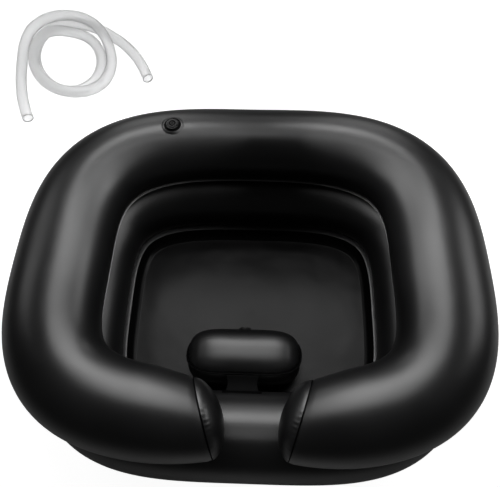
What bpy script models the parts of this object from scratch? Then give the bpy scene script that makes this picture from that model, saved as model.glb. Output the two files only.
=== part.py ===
"""Portable inflatable shampoo basin: two stacked air chambers round a welded floor, a headrest
pillow in the neck gap, three air valves, a side drain and a loose clear drain hose.

Metres, +Z up. The origin is on the ground, under the middle of the basin. The neck gap faces -Y.
"""

import math

import bmesh
import bpy
from mathutils import Matrix, Vector

# Whole basin
BASIN_WIDTH = 0.620
BASIN_DEPTH = 0.508
TOUCH_GAP = 0.0003
CUT_OVERRUN = 0.004
SHEET_THICKNESS = 0.0010
MERGE_DISTANCE = 0.00001
SHARP_ANGLE_DEGREES = 40.0

# Lower chamber, a closed ring
LOWER_SIDE_INSET = 0.011
LOWER_BACK_INSET = 0.010
LOWER_RADIUS = 0.058
LOWER_SQUASH_SHARE = 0.90
LOWER_FRONT_POWER = 3.88
LOWER_BACK_POWER = 3.33
LOWER_GROUND_FLAT_DEPTH = 0.0010
LOWER_CROWN_FLAT_DEPTH = 0.0010
LOWER_RINGS = 64
LOWER_SIDES = 18

# Upper chamber, a tube bent to a C that is open at the neck
UPPER_FRONT_INSET = 0.012
UPPER_SIDE_RADIUS = 0.0613
UPPER_FRONT_RADIUS = 0.0540
UPPER_BACK_RADIUS = 0.0519
UPPER_SQUASH_SHARE = 0.93
UPPER_FRONT_POWER = 3.47
UPPER_BACK_POWER = 3.26
UPPER_FLARE_SHARE = 0.02
UPPER_BASE_FLAT_DEPTH = 0.0004
UPPER_RINGS = 66
UPPER_SIDES = 20

# Neck gap between the two arms of the upper chamber
NECK_MIDDLE_X = 0.0085
NECK_WIDTH = 0.115
END_TILT_DEGREES = 17.0
END_TAPER_SHARE = 0.14
END_TAPER_LENGTH = 0.075
END_TAIL_LENGTH = 0.030
END_CUT_LENGTH = 0.050
END_BULGE = 0.023
END_SEAM_RIM = 0.0012
END_POWER_SHARE = 0.62
END_STEPS = 26
END_PROFILE_POINTS = 5

# Weld strip between the chambers, and the two welded seams round the bowl
STRIP_WIDTH = 0.022
STRIP_TUCK_LENGTH = 0.012
UPPER_SEAM_HEIGHT = 0.121
UPPER_SEAM_REACH = 0.0032
FLOOR_SEAM_HEIGHT = 0.020
FLOOR_SEAM_REACH = 0.0105
BAND_POINTS = 52
DENSE_POINTS = 1440

# Floor sheet, a shallow tray under the lower seam
FLOOR_RIM_INSET = 0.0030
FLOOR_SLOPE_RUN = 0.0110
FLOOR_FLAT_RUN = 0.0180

# Headrest pillow
PILLOW_WIDTH = 0.164
PILLOW_DEPTH = 0.081
PILLOW_HEIGHT = 0.072
PILLOW_MIDDLE_X = -0.0070
PILLOW_NECK_CLEARANCE = 0.0105
PILLOW_WIDTH_POWER = 4.2
PILLOW_DEPTH_POWER = 2.6
PILLOW_WAIST_SHARE = 0.05
PILLOW_CUTS = 6
PILLOW_SEAM_REACH = 0.0035
PILLOW_SEAM_LIFT = 0.0090
PILLOW_SEAM_TILT_DEGREES = 32.0
PILLOW_SEAM_POINTS = 48
PILLOW_TAB_WIDTH = 0.045
PILLOW_TAB_CLEARANCE = 0.0006
BISECTION_STEPS = 40

# Air valves: a moulded seat, a stem that pushes in and a tethered stopper
VALVE_SEAT_RADIUS = 0.0150
VALVE_SEAT_THICKNESS = 0.0022
VALVE_SEAT_PROUD = 0.0006
VALVE_STEM_RADIUS = 0.0060
VALVE_BORE_RADIUS = 0.0032
VALVE_STEM_LENGTH = 0.0160
VALVE_RIM_RADIUS = 0.0086
VALVE_RIM_THICKNESS = 0.0016
VALVE_WELL_RADIUS = 0.0078
VALVE_WELL_DEPTH = 0.0240
VALVE_STEPS = 20
UPPER_VALVE_X = -0.1136
PILLOW_SEAT_RADIUS = 0.0105
PILLOW_VALVE_ANGLE_DEGREES = 17.5
PILLOW_VALVE_SINK = 0.0015
ANGLE_STEP_DEGREES = 1.0

# Stoppers of the valves
STOPPER_HEAD_RADIUS = 0.0065
STOPPER_HEAD_THICKNESS = 0.0014
STOPPER_PLUG_RADIUS = 0.0026
STOPPER_TIP_RADIUS = 0.0018
STOPPER_PLUG_LENGTH = 0.0030
STOPPER_STRAP_WIDTH = 0.0042
STOPPER_HINGE_RADIUS = 0.0009
STOPPER_HINGE_LENGTH = 0.0060
STOPPER_STRAP_SHARE = 0.8
STOPPER_STEPS = 20
HINGE_STEPS = 10

# Drain through the right side of the lower chamber
DRAIN_FRONT_DISTANCE = 0.086
DRAIN_HEIGHT = 0.0400
DRAIN_FLANGE_RADIUS = 0.0150
DRAIN_FLANGE_THICKNESS = 0.0025
DRAIN_SEAT_DEPTH = 0.0035
DRAIN_DUCT_RADIUS = 0.0110
DRAIN_BORE_RADIUS = 0.0085
DRAIN_SPOUT_RADIUS = 0.0076
DRAIN_SPOUT_BORE_RADIUS = 0.0058
DRAIN_BARB_RADIUS = 0.0084
DRAIN_BARB_PITCH = 0.0040
DRAIN_BARB_COUNT = 3
DRAIN_SPOUT_ROOT_LENGTH = 0.0015
DRAIN_STEPS = 24
DRAIN_HEAD_RADIUS = 0.0112
DRAIN_HEAD_THICKNESS = 0.0022
DRAIN_PLUG_RADIUS = 0.0076
DRAIN_TIP_RADIUS = 0.0062
DRAIN_PLUG_LENGTH = 0.0060
DRAIN_STRAP_WIDTH = 0.0070
DRAIN_HINGE_RADIUS = 0.0013
DRAIN_HINGE_LENGTH = 0.0100

# Loose drain hose, lying on the ground behind and to the left
HOSE_DIAMETER = 0.0200
HOSE_LAYER_GAP = 0.0006
HOSE_SIDES_RESOLUTION = 1
HOSE_COIL_X = -0.371
HOSE_COIL_Y = 0.498
HOSE_OVAL_SHARE = 1.22
HOSE_LEAN_SHARE = -0.17
HOSE_TURNS = 2
HOSE_TURN_POINTS = 24
HOSE_CURVE_STEPS = 4
HOSE_COIL_STEP_SHARE = 0.95
HOSE_TAIL_STEP_SHARE = 1.25
HOSE_SQUARE_SHARE = 0.25

# How the hose is wound, in shares of its diameter and of a turn; a turn starts at the back
HOSE_INNER_SHARE = 3.10
HOSE_OUTER_SHARE = 4.16
HOSE_WIND_IN_SHARE = 0.40
HOSE_WIND_OUT_FROM_SHARE = 1.10
HOSE_WIND_OUT_SHARE = 0.65
HOSE_CLIMB_FROM_SHARE = 0.96
HOSE_CLIMB_SHARE = 0.20
HOSE_DIP_SHARE = 0.70
HOSE_DIP_FROM_SHARE = 1.46
HOSE_DIP_LENGTH_SHARE = 0.24
HOSE_RISE_FROM_SHARE = 1.72
HOSE_RISE_LENGTH_SHARE = 0.17

# The two tails, in shares of the hose's diameter off the coil's middle: right, back and lift
HOSE_RIGHT_TAIL_SHARES = (
    (7.55, -1.73, 0.0),
    (7.18, -0.69, 0.0),
    (6.62, 0.40, 0.0),
    (5.79, 1.46, 0.0),
    (4.72, 2.40, 0.0),
    (3.50, 3.20, 0.0),
    (2.20, 3.78, 0.0),
    (1.05, 4.08, 0.0),
)
HOSE_LEFT_TAIL_SHARES = (
    (-1.20, 4.06, 1.0),
    (-2.45, 3.60, 0.97),
    (-3.66, 2.62, 0.86),
    (-4.42, 1.35, 0.48),
    (-4.72, -0.10, 0.12),
    (-4.79, -1.68, 0.0),
    (-4.62, -3.40, 0.0),
    (-4.30, -4.70, 0.0),
    (-3.92, -5.81, 0.0),
)
HOSE_RIGHT_TAIL_POINTS = 4
HOSE_LEFT_TAIL_POINTS = 4

# Colours
SEAM_COLOUR = (0.030, 0.030, 0.032, 1.0)
SKIN_COLOUR = (0.012, 0.012, 0.013, 1.0)
VALVE_COLOUR = (0.018, 0.018, 0.019, 1.0)
HOSE_COLOUR = (0.80, 0.82, 0.83, 1.0)
SKIN_ROUGHNESS = 0.38
HOSE_ROUGHNESS = 0.20

# Worked out from the sizes above
LOWER_HALF_X = BASIN_WIDTH / 2 - LOWER_SIDE_INSET - LOWER_RADIUS
LOWER_HALF_Y = (BASIN_DEPTH - LOWER_BACK_INSET) / 2 - LOWER_RADIUS
LOWER_HALF_HEIGHT = LOWER_RADIUS * LOWER_SQUASH_SHARE
LOWER_AXIS_Z = LOWER_HALF_HEIGHT - LOWER_GROUND_FLAT_DEPTH
LOWER_MIDDLE_Y = -LOWER_BACK_INSET / 2
LOWER_FRONT_Y = LOWER_MIDDLE_Y - LOWER_HALF_Y
LOWER_TOP_Z = LOWER_AXIS_Z + LOWER_HALF_HEIGHT - LOWER_CROWN_FLAT_DEPTH

STRIP_BASE_Z = LOWER_TOP_Z + TOUCH_GAP
UPPER_BASE_Z = STRIP_BASE_Z + SHEET_THICKNESS + TOUCH_GAP
UPPER_HALF_X = BASIN_WIDTH / 2 - UPPER_SIDE_RADIUS
UPPER_DEPTH = BASIN_DEPTH - UPPER_FRONT_INSET
UPPER_HALF_Y = (UPPER_DEPTH - UPPER_FRONT_RADIUS - UPPER_BACK_RADIUS) / 2
UPPER_MIDDLE_Y = BASIN_DEPTH / 2 - UPPER_BACK_RADIUS - UPPER_HALF_Y
UPPER_AXIS_Z = UPPER_BASE_Z + UPPER_BACK_RADIUS * UPPER_SQUASH_SHARE - UPPER_BASE_FLAT_DEPTH

PILLOW_MIDDLE_Y = LOWER_FRONT_Y + LOWER_RADIUS + PILLOW_NECK_CLEARANCE + PILLOW_DEPTH / 2
PILLOW_BASE_Z = 2 * SHEET_THICKNESS + TOUCH_GAP
PILLOW_MIDDLE = Vector((PILLOW_MIDDLE_X, PILLOW_MIDDLE_Y, PILLOW_BASE_Z + PILLOW_HEIGHT / 2))

DRAIN_Y = LOWER_FRONT_Y + DRAIN_FRONT_DISTANCE

PILLOW_SEAM_TILT = math.radians(PILLOW_SEAM_TILT_DEGREES)

LEFT_END_X = NECK_MIDDLE_X - NECK_WIDTH / 2
RIGHT_END_X = NECK_MIDDLE_X + NECK_WIDTH / 2
END_TILT = math.radians(END_TILT_DEGREES)


def collection(name):
    made = bpy.data.collections.new(name)
    bpy.context.scene.collection.children.link(made)
    return made


def material(name, colour, roughness, alpha=1.0):
    made = bpy.data.materials.new(name)
    made.use_nodes = True
    shader = made.node_tree.nodes["Principled BSDF"]
    shader.inputs["Base Color"].default_value = colour
    shader.inputs["Roughness"].default_value = roughness
    shader.inputs["Metallic"].default_value = 0.0
    shader.inputs["Alpha"].default_value = alpha
    made.diffuse_color = colour
    return made


def add_part(name, data, colour=SKIN_COLOUR, roughness=SKIN_ROUGHNESS):
    made = bpy.data.objects.new(name, data)
    PARTS.objects.link(made)
    data.materials.append(material(name + "_material", colour, roughness))
    if isinstance(data, bpy.types.Mesh):
        data.shade_smooth()
        data.set_sharp_from_angle(angle=math.radians(SHARP_ANGLE_DEGREES))
    return made


def add_cutter(name, data):
    made = bpy.data.objects.new(name, data)
    CUTTERS.objects.link(made)
    made.hide_render = True
    made.display_type = "WIRE"
    return made


def cut(part, cutter, operation="DIFFERENCE"):
    change = part.modifiers.new("cut_" + cutter.name, "BOOLEAN")
    change.operation = operation
    change.solver = "EXACT"
    change.object = cutter


def frame_at(place, outward, across=None):
    """A matrix whose Z is outward and whose X is as near across as can be."""
    z = Vector(outward).normalized()
    x = Vector(across) if across else Vector((1.0, 0.0, 0.0))
    x = (x - z * x.dot(z)).normalized()
    y = z.cross(x)
    turn = Matrix((x, y, z)).transposed().to_4x4()
    return Matrix.Translation(Vector(place)) @ turn


def box_mesh(name, low, high):
    low, high = Vector(low), Vector(high)
    work = bmesh.new()
    bmesh.ops.create_cube(work, size=1.0)
    size = high - low
    bmesh.ops.scale(work, vec=size, verts=work.verts)
    bmesh.ops.translate(work, vec=(low + high) / 2, verts=work.verts)
    data = bpy.data.meshes.new(name)
    work.to_mesh(data)
    work.free()
    return data


def cylinder_mesh(name, radius, low, high, sides, tip_radius=None):
    """A cylinder or cone round Z, from low to high."""
    work = bmesh.new()
    bmesh.ops.create_cone(
        work,
        cap_ends=True,
        segments=sides,
        radius1=radius if tip_radius is None else tip_radius,
        radius2=radius,
        depth=high - low,
    )
    bmesh.ops.translate(work, vec=(0.0, 0.0, (low + high) / 2), verts=work.verts)
    data = bpy.data.meshes.new(name)
    work.to_mesh(data)
    work.free()
    return data


def turned(name, profile, steps, closed=False):
    """A profile of (radius, height) points, top to bottom down its outer side, turned round Z."""
    data = bpy.data.meshes.new(name)
    points = [(radius, 0.0, height) for radius, height in profile]
    count = len(points)
    edges = [(i, i + 1) for i in range(count - 1)]
    if closed:
        edges.append((count - 1, 0))
    data.from_pydata(points, edges, [])
    made = add_part(name, data)
    turn = made.modifiers.new("turn", "SCREW")
    turn.axis = "Z"
    turn.steps = steps
    turn.render_steps = steps
    turn.use_merge_vertices = True
    turn.merge_threshold = MERGE_DISTANCE
    return made


def solid_of(source, name):
    """The evaluated shape of an object as a plain mesh in world places, and the object removed."""
    depsgraph = bpy.context.evaluated_depsgraph_get()
    depsgraph.update()
    data = bpy.data.meshes.new_from_object(source.evaluated_get(depsgraph))
    data.transform(source.matrix_world)
    data.name = name
    work = bmesh.new()
    work.from_mesh(data)
    bmesh.ops.remove_doubles(work, verts=work.verts, dist=MERGE_DISTANCE)
    bmesh.ops.recalc_face_normals(work, faces=work.faces)
    work.to_mesh(data)
    work.free()
    data.materials.clear()
    bpy.data.objects.remove(source)
    return data


def ring_point(angle, half_x, half_y, front_power, back_power, flare_share=0.0):
    """A point of a rounded rectangle about the origin; angle 0 is +X, a quarter turn is +Y."""
    c, s = math.cos(angle), math.sin(angle)
    power = front_power if s < 0 else back_power
    x = math.copysign(abs(c) ** (2 / power), c)
    y = math.copysign(abs(s) ** (2 / power), s)
    return Vector((x * half_x * (1 - flare_share * y), y * half_y, 0.0))


def spaced(points, count, closed):
    """The line through the points again, with count points at even steps along it."""
    line = points + points[:1] if closed else points
    runs = [0.0]
    for a, b in zip(line, line[1:]):
        runs.append(runs[-1] + (b - a).length)
    steps = count if closed else count - 1
    found, k = [], 0
    for i in range(count):
        along = runs[-1] * i / steps
        while k < len(line) - 2 and runs[k + 1] < along:
            k += 1
        share = (along - runs[k]) / max(runs[k + 1] - runs[k], MERGE_DISTANCE)
        found.append(line[k].lerp(line[k + 1], min(max(share, 0.0), 1.0)))
    return found


def lower_path(count):
    dense = [
        ring_point(
            math.tau * i / DENSE_POINTS,
            LOWER_HALF_X,
            LOWER_HALF_Y,
            LOWER_FRONT_POWER,
            LOWER_BACK_POWER,
        )
        for i in range(DENSE_POINTS)
    ]
    shift = Vector((0.0, LOWER_MIDDLE_Y, 0.0))
    return [p + shift for p in spaced(dense, count, True)]


def upper_dense():
    """The whole rounded rectangle of the upper chamber's axis, from the middle of the neck."""
    shift = Vector((0.0, UPPER_MIDDLE_Y, 0.0))
    start = -math.pi / 2
    return [
        ring_point(
            start - math.tau * i / DENSE_POINTS,
            UPPER_HALF_X,
            UPPER_HALF_Y,
            UPPER_FRONT_POWER,
            UPPER_BACK_POWER,
            UPPER_FLARE_SHARE,
        )
        + shift
        for i in range(DENSE_POINTS)
    ]


def upper_radius(point):
    """Half the breadth of the upper tube at a point of its axis, away from its ends."""
    across = point.x / UPPER_HALF_X
    along = (point.y - UPPER_MIDDLE_Y) / UPPER_HALF_Y
    angle = math.atan2(along, across)
    end_radius = UPPER_FRONT_RADIUS if along < 0 else UPPER_BACK_RADIUS
    side_share = math.cos(angle) ** 2
    return UPPER_SIDE_RADIUS * side_share + end_radius * (1 - side_share)


def end_share(point):
    """How far the tube is drawn in beside the neck: 1 at the end seam, 0 past the taper."""
    if point.y > UPPER_MIDDLE_Y:
        return 0.0
    away = LEFT_END_X - point.x if point.x < NECK_MIDDLE_X else point.x - RIGHT_END_X
    return max(0.0, 1 - max(away, 0.0) / END_TAPER_LENGTH) ** 2


def upper_path(tail):
    """The axis points of the C, from past the left end round the back to past the right end."""
    kept = []
    for p in upper_dense():
        in_gap = p.y < UPPER_MIDDLE_Y and LEFT_END_X + tail < p.x < RIGHT_END_X - tail
        if not in_gap:
            kept.append(p)
    return kept


def inward(points, closed):
    """Unit vectors at right angles to a flat path, to its right-hand side going along it."""
    found = []
    count = len(points)
    for i in range(count):
        before = points[i - 1] if closed or i else points[i]
        after = points[(i + 1) % count] if closed or i < count - 1 else points[i]
        along = (after - before).normalized()
        found.append(Vector((along.y, -along.x, 0.0)))
    return found


def tube(name, points, radii, sides, closed, squash_share, axis_z):
    """A curve bevelled to a round tube, flattened in height by squash_share about axis_z."""
    data = bpy.data.curves.new(name, "CURVE")
    data.dimensions = "3D"
    widest = max(radii)
    data.bevel_depth = widest
    data.bevel_resolution = (sides - 4) // 2
    data.use_fill_caps = not closed
    line = data.splines.new("POLY")
    line.points.add(len(points) - 1)
    line.use_cyclic_u = closed
    for spot, p, radius in zip(line.points, points, radii):
        spot.co = (p.x, p.y, (p.z - axis_z) / squash_share, 1.0)
        spot.radius = radius / widest
    made = bpy.data.objects.new(name, data)
    PARTS.objects.link(made)
    made.location = (0.0, 0.0, axis_z)
    made.scale = (1.0, 1.0, squash_share)
    bpy.context.view_layer.update()
    return solid_of(made, name)


def flat_band(name, outlines, base_z, thickness, colour=SKIN_COLOUR):
    """A flat sheet of even thickness, filled between closed outlines."""
    data = bpy.data.curves.new(name, "CURVE")
    data.dimensions = "2D"
    data.fill_mode = "BOTH"
    data.extrude = thickness / 2
    for outline in outlines:
        line = data.splines.new("POLY")
        line.points.add(len(outline) - 1)
        line.use_cyclic_u = True
        for spot, p in zip(line.points, outline):
            spot.co = (p.x, p.y, 0.0, 1.0)
    made = add_part(name, data, colour)
    made.location = (0.0, 0.0, base_z + thickness / 2)
    return made


def wall_offset(radius, squash_share, axis_z, height):
    """How far a flattened tube's wall stands from its axis at a height, sideways."""
    rise = (height - axis_z) / (radius * squash_share)
    return radius * math.sqrt(max(0.0, 1 - rise * rise))


def lower_ring():
    points = [Vector((p.x, p.y, LOWER_AXIS_Z)) for p in lower_path(LOWER_RINGS)]
    radii = [LOWER_RADIUS] * len(points)
    data = tube("lower_ring", points, radii, LOWER_SIDES, True, LOWER_SQUASH_SHARE, LOWER_AXIS_Z)
    part = add_part("lower_ring", data)
    reach = BASIN_WIDTH
    under = box_mesh("ground_cutter", (-reach, -reach, -LOWER_RADIUS), (reach, reach, 0.0))
    cut(part, add_cutter("ground_cutter", under))
    over = box_mesh("crown_cutter", (-reach, -reach, LOWER_TOP_Z), (reach, reach, BASIN_WIDTH))
    cut(part, add_cutter("crown_cutter", over))
    return part


def upper_ring(under):
    dense = upper_path(END_TAIL_LENGTH)
    points = spaced(dense, UPPER_RINGS, False)
    radii, axis = [], []
    for p in points:
        full = upper_radius(p)
        radius = full * (1 - END_TAPER_SHARE * end_share(p))
        radii.append(radius)
        axis.append(Vector((p.x, p.y, UPPER_AXIS_Z - (full - radius) * UPPER_SQUASH_SHARE)))
    data = tube("upper_ring", axis, radii, UPPER_SIDES, False, UPPER_SQUASH_SHARE, UPPER_AXIS_Z)
    part = add_part("upper_ring", data)
    cut(part, under)
    for side, end_x in (("left", LEFT_END_X), ("right", RIGHT_END_X)):
        size = 2 * UPPER_SIDE_RADIUS
        block = box_mesh(side + "_end_cutter", (-size, -size, 0.0), (size, size, END_CUT_LENGTH))
        cutter = add_cutter(side + "_end_cutter", block)
        cutter.matrix_world = end_frame(end_x)
        cut(part, cutter)
    return part


def end_axis(end_x):
    """The place of the tube's axis at an end seam, and the tube's radius there."""
    front = [p for p in upper_dense() if p.y < UPPER_MIDDLE_Y]
    near = min(front, key=lambda p: abs(p.x - end_x))
    full = upper_radius(near)
    radius = full * (1 - END_TAPER_SHARE)
    z = UPPER_AXIS_Z - (full - radius) * UPPER_SQUASH_SHARE
    return Vector((end_x, near.y, z)), radius


def end_frame(end_x):
    """A frame on the end seam: Z points out of the arm into the neck gap, Y is upright."""
    place, _ = end_axis(end_x)
    way = 1 if end_x < NECK_MIDDLE_X else -1
    out = Vector((way * math.cos(END_TILT), math.sin(END_TILT), 0.0))
    across = Vector((math.sin(END_TILT), -way * math.cos(END_TILT), 0.0)) * way
    return frame_at(place, out, across)


def end_cap(name, end_x, under):
    """The round end panel, bulged by the air, welded to the oblique end of an arm."""
    _, radius = end_axis(end_x)
    profile = [(0.0, END_BULGE)]
    for i in range(1, END_PROFILE_POINTS):
        share = math.sin(math.pi / 2 * i / END_PROFILE_POINTS)
        height = END_BULGE * (1 - share * share) ** END_POWER_SHARE
        profile.append((share * radius, height + END_SEAM_RIM))
    profile[0] = (0.0, END_BULGE + END_SEAM_RIM)
    profile += [(radius, END_SEAM_RIM), (radius, TOUCH_GAP), (0.0, TOUCH_GAP)]
    part = turned(name, profile, END_STEPS)
    part.matrix_world = end_frame(end_x)
    part.scale = (1 / math.cos(END_TILT), UPPER_SQUASH_SHARE, 1.0)
    cut(part, under)
    return part


def offset_line(points, offsets, closed):
    return [p + n * d for p, n, d in zip(points, inward(points, closed), offsets)]


def chamber_strip():
    """The weld strip that joins the two chambers, under the whole of the C."""
    dense = upper_path(-STRIP_TUCK_LENGTH)
    points = spaced(dense, BAND_POINTS, False)
    half = STRIP_WIDTH / 2
    inner = offset_line(points, [half] * len(points), False)
    outer = offset_line(points, [-half] * len(points), False)
    return flat_band("chamber_strip", [outer + inner[::-1]], STRIP_BASE_Z, SHEET_THICKNESS)


def upper_seam():
    """The welded edge that shows as a thin line under the upper chamber's inner side."""
    dense = upper_path(-END_TAPER_LENGTH)
    points = spaced(dense, BAND_POINTS, False)
    top = UPPER_SEAM_HEIGHT + SHEET_THICKNESS
    walls = [wall_offset(upper_radius(p), UPPER_SQUASH_SHARE, UPPER_AXIS_Z, top) for p in points]
    root = offset_line(points, [w + TOUCH_GAP for w in walls], False)
    edge = offset_line(points, [w + UPPER_SEAM_REACH for w in walls], False)
    outline = root + edge[::-1]
    return flat_band("upper_seam", [outline], UPPER_SEAM_HEIGHT, SHEET_THICKNESS, SEAM_COLOUR)


def floor_seam_wall():
    top = FLOOR_SEAM_HEIGHT + SHEET_THICKNESS
    return wall_offset(LOWER_RADIUS, LOWER_SQUASH_SHARE, LOWER_AXIS_Z, top)


def lower_inner_line(offset, count=BAND_POINTS):
    """The lower chamber's axis moved in towards the bowl by offset."""
    points = lower_path(count)
    return offset_line(points, [-offset] * count, True)


def floor_seam():
    """The welded edge round the lower chamber's inner side, which carries the floor sheet."""
    wall = floor_seam_wall()
    root = lower_inner_line(wall + TOUCH_GAP)
    edge = lower_inner_line(wall + FLOOR_SEAM_REACH)
    return flat_band("floor_seam", [root, edge], FLOOR_SEAM_HEIGHT, SHEET_THICKNESS, SEAM_COLOUR)


def floor_sheet():
    """The floor: a shallow tray that hangs from the floor seam and lies on the ground."""
    edge = floor_seam_wall() + FLOOR_SEAM_REACH
    rim_z = FLOOR_SEAM_HEIGHT - TOUCH_GAP
    loops = (
        (edge - FLOOR_RIM_INSET, rim_z),
        (edge + FLOOR_SLOPE_RUN / 2, rim_z / 3 + SHEET_THICKNESS),
        (edge + FLOOR_SLOPE_RUN, SHEET_THICKNESS + SHEET_THICKNESS / 2),
        (edge + FLOOR_FLAT_RUN, SHEET_THICKNESS),
    )
    work = bmesh.new()
    rings = []
    for offset, height in loops:
        ring = [work.verts.new((p.x, p.y, height)) for p in lower_inner_line(offset)]
        rings.append(ring)
    for outer, inner in zip(rings, rings[1:]):
        for i in range(len(outer)):
            j = (i + 1) % len(outer)
            work.faces.new((outer[i], outer[j], inner[j], inner[i]))
    work.faces.new(rings[-1])
    bmesh.ops.recalc_face_normals(work, faces=work.faces)
    work.normal_update()
    if work.faces[-1].normal.z < 0 or rings[-1][0].link_faces[0].normal.z < 0:
        bmesh.ops.reverse_faces(work, faces=work.faces)
    data = bpy.data.meshes.new("floor_sheet")
    work.to_mesh(data)
    work.free()
    part = add_part("floor_sheet", data)
    shell = part.modifiers.new("sheet", "SOLIDIFY")
    shell.thickness = SHEET_THICKNESS
    shell.offset = -1.0
    return part


def pillow_reach(direction, start=Vector()):
    """How far the pillow's skin is in a direction, from a start measured off its middle."""
    halves = (PILLOW_WIDTH / 2, PILLOW_DEPTH / 2, PILLOW_HEIGHT / 2)
    powers = (PILLOW_WIDTH_POWER, PILLOW_DEPTH_POWER, PILLOW_DEPTH_POWER)
    low, high = 0.0, PILLOW_WIDTH
    for _ in range(BISECTION_STEPS):
        middle = (low + high) / 2
        spot = start + direction * middle
        total = sum((abs(s) / h) ** n for s, h, n in zip(spot, halves, powers))
        if total < 1:
            low = middle
        else:
            high = middle
    return low


def pillow_waist(point):
    """The point drawn in between the corners, as an inflated pillow's sides are."""
    across = point.x / (PILLOW_WIDTH / 2)
    along = point.y / (PILLOW_DEPTH / 2)
    return Vector(
        (
            point.x * (1 - PILLOW_WAIST_SHARE / 2 * (1 - along * along)),
            point.y * (1 - PILLOW_WAIST_SHARE * (1 - across * across)),
            point.z,
        )
    )


def pillow():
    work = bmesh.new()
    bmesh.ops.create_cube(work, size=2.0)
    bmesh.ops.subdivide_edges(work, edges=work.edges, cuts=PILLOW_CUTS, use_grid_fill=True)
    halves = Vector((PILLOW_WIDTH, PILLOW_DEPTH, PILLOW_HEIGHT)) / 2
    for spot in work.verts:
        even = Vector([math.tan(value * math.pi / 4) for value in spot.co])
        way = Vector([value * half for value, half in zip(even, halves)]).normalized()
        spot.co = pillow_waist(way * pillow_reach(way))
    data = bpy.data.meshes.new("pillow")
    work.to_mesh(data)
    work.free()
    part = add_part("pillow", data)
    part.location = PILLOW_MIDDLE
    return part


def pillow_seam_up():
    """The direction at right angles to the pillow's seam, which is higher at the neck."""
    return Vector((0.0, math.sin(PILLOW_SEAM_TILT), math.cos(PILLOW_SEAM_TILT)))


def pillow_outline(reach):
    """The pillow's outline at its seam, moved out by reach."""
    up = pillow_seam_up()
    back = Vector((0.0, up.z, -up.y))
    start = Vector((0.0, 0.0, PILLOW_SEAM_LIFT))
    found = []
    for i in range(PILLOW_SEAM_POINTS):
        angle = math.tau * i / PILLOW_SEAM_POINTS
        way = Vector((math.cos(angle) * PILLOW_WIDTH, 0.0, 0.0)) + back * (math.sin(angle) * PILLOW_DEPTH)
        way.normalize()
        spot = start + way * pillow_reach(way, start)
        found.append(PILLOW_MIDDLE + pillow_waist(spot))
    moved = []
    for i, p in enumerate(found):
        after = found[(i + 1) % len(found)]
        out = (after - found[i - 1]).cross(up).normalized()
        moved.append(p + out * reach)
    return moved


def pillow_back_point(degrees):
    """A point of the pillow's back, at an angle above its middle."""
    angle = math.radians(degrees)
    way = Vector((0.0, math.cos(angle), math.sin(angle)))
    return PILLOW_MIDDLE + pillow_waist(way * pillow_reach(way))


def pillow_valve_frame():
    """The frame of the pillow's valve, let in over its seam, its stopper hinged at one side."""
    place = pillow_back_point(PILLOW_VALVE_ANGLE_DEGREES)
    above = pillow_back_point(PILLOW_VALVE_ANGLE_DEGREES + ANGLE_STEP_DEGREES)
    below = pillow_back_point(PILLOW_VALVE_ANGLE_DEGREES - ANGLE_STEP_DEGREES)
    down = (below - above).normalized()
    outward = Vector((0.0, -down.z, down.y))
    return frame_at(place - outward * PILLOW_VALVE_SINK, outward)


def pillow_seam():
    """The welded edge of the pillow's two sheets, a band of even thickness round it."""
    shift = pillow_seam_up() * (SHEET_THICKNESS / 2)
    inner = pillow_outline(TOUCH_GAP)
    outer = pillow_outline(PILLOW_SEAM_REACH)
    work = bmesh.new()
    rows = []
    for a, b in zip(inner, outer):
        rows.append([work.verts.new(p) for p in (a - shift, b - shift, b + shift, a + shift)])
    for i, row in enumerate(rows):
        after = rows[(i + 1) % len(rows)]
        for j in range(len(row)):
            k = (j + 1) % len(row)
            work.faces.new((row[j], row[k], after[k], after[j]))
    bmesh.ops.recalc_face_normals(work, faces=work.faces)
    data = bpy.data.meshes.new("pillow_seam")
    work.to_mesh(data)
    work.free()
    return add_part("pillow_seam", data, SEAM_COLOUR)


def pillow_front():
    """The front point of the pillow's seam, where the tab meets it."""
    return min(pillow_outline(PILLOW_SEAM_REACH), key=lambda p: p.y)


def pillow_tab():
    """The welded tab that holds the pillow to the lower chamber's inner side."""
    edge = pillow_front()
    base = edge.z - SHEET_THICKNESS / 2
    top = base + SHEET_THICKNESS
    wall = min(wall_offset(LOWER_RADIUS, LOWER_SQUASH_SHARE, LOWER_AXIS_Z, z) for z in (base, top))
    wall_y = LOWER_MIDDLE_Y - LOWER_HALF_Y + wall + TOUCH_GAP
    front = edge.y - PILLOW_TAB_CLEARANCE
    half = PILLOW_TAB_WIDTH / 2
    low = (PILLOW_MIDDLE_X - half, wall_y, base)
    high = (PILLOW_MIDDLE_X + half, front, top)
    return add_part("pillow_tab", box_mesh("pillow_tab", low, high), SEAM_COLOUR)


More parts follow.
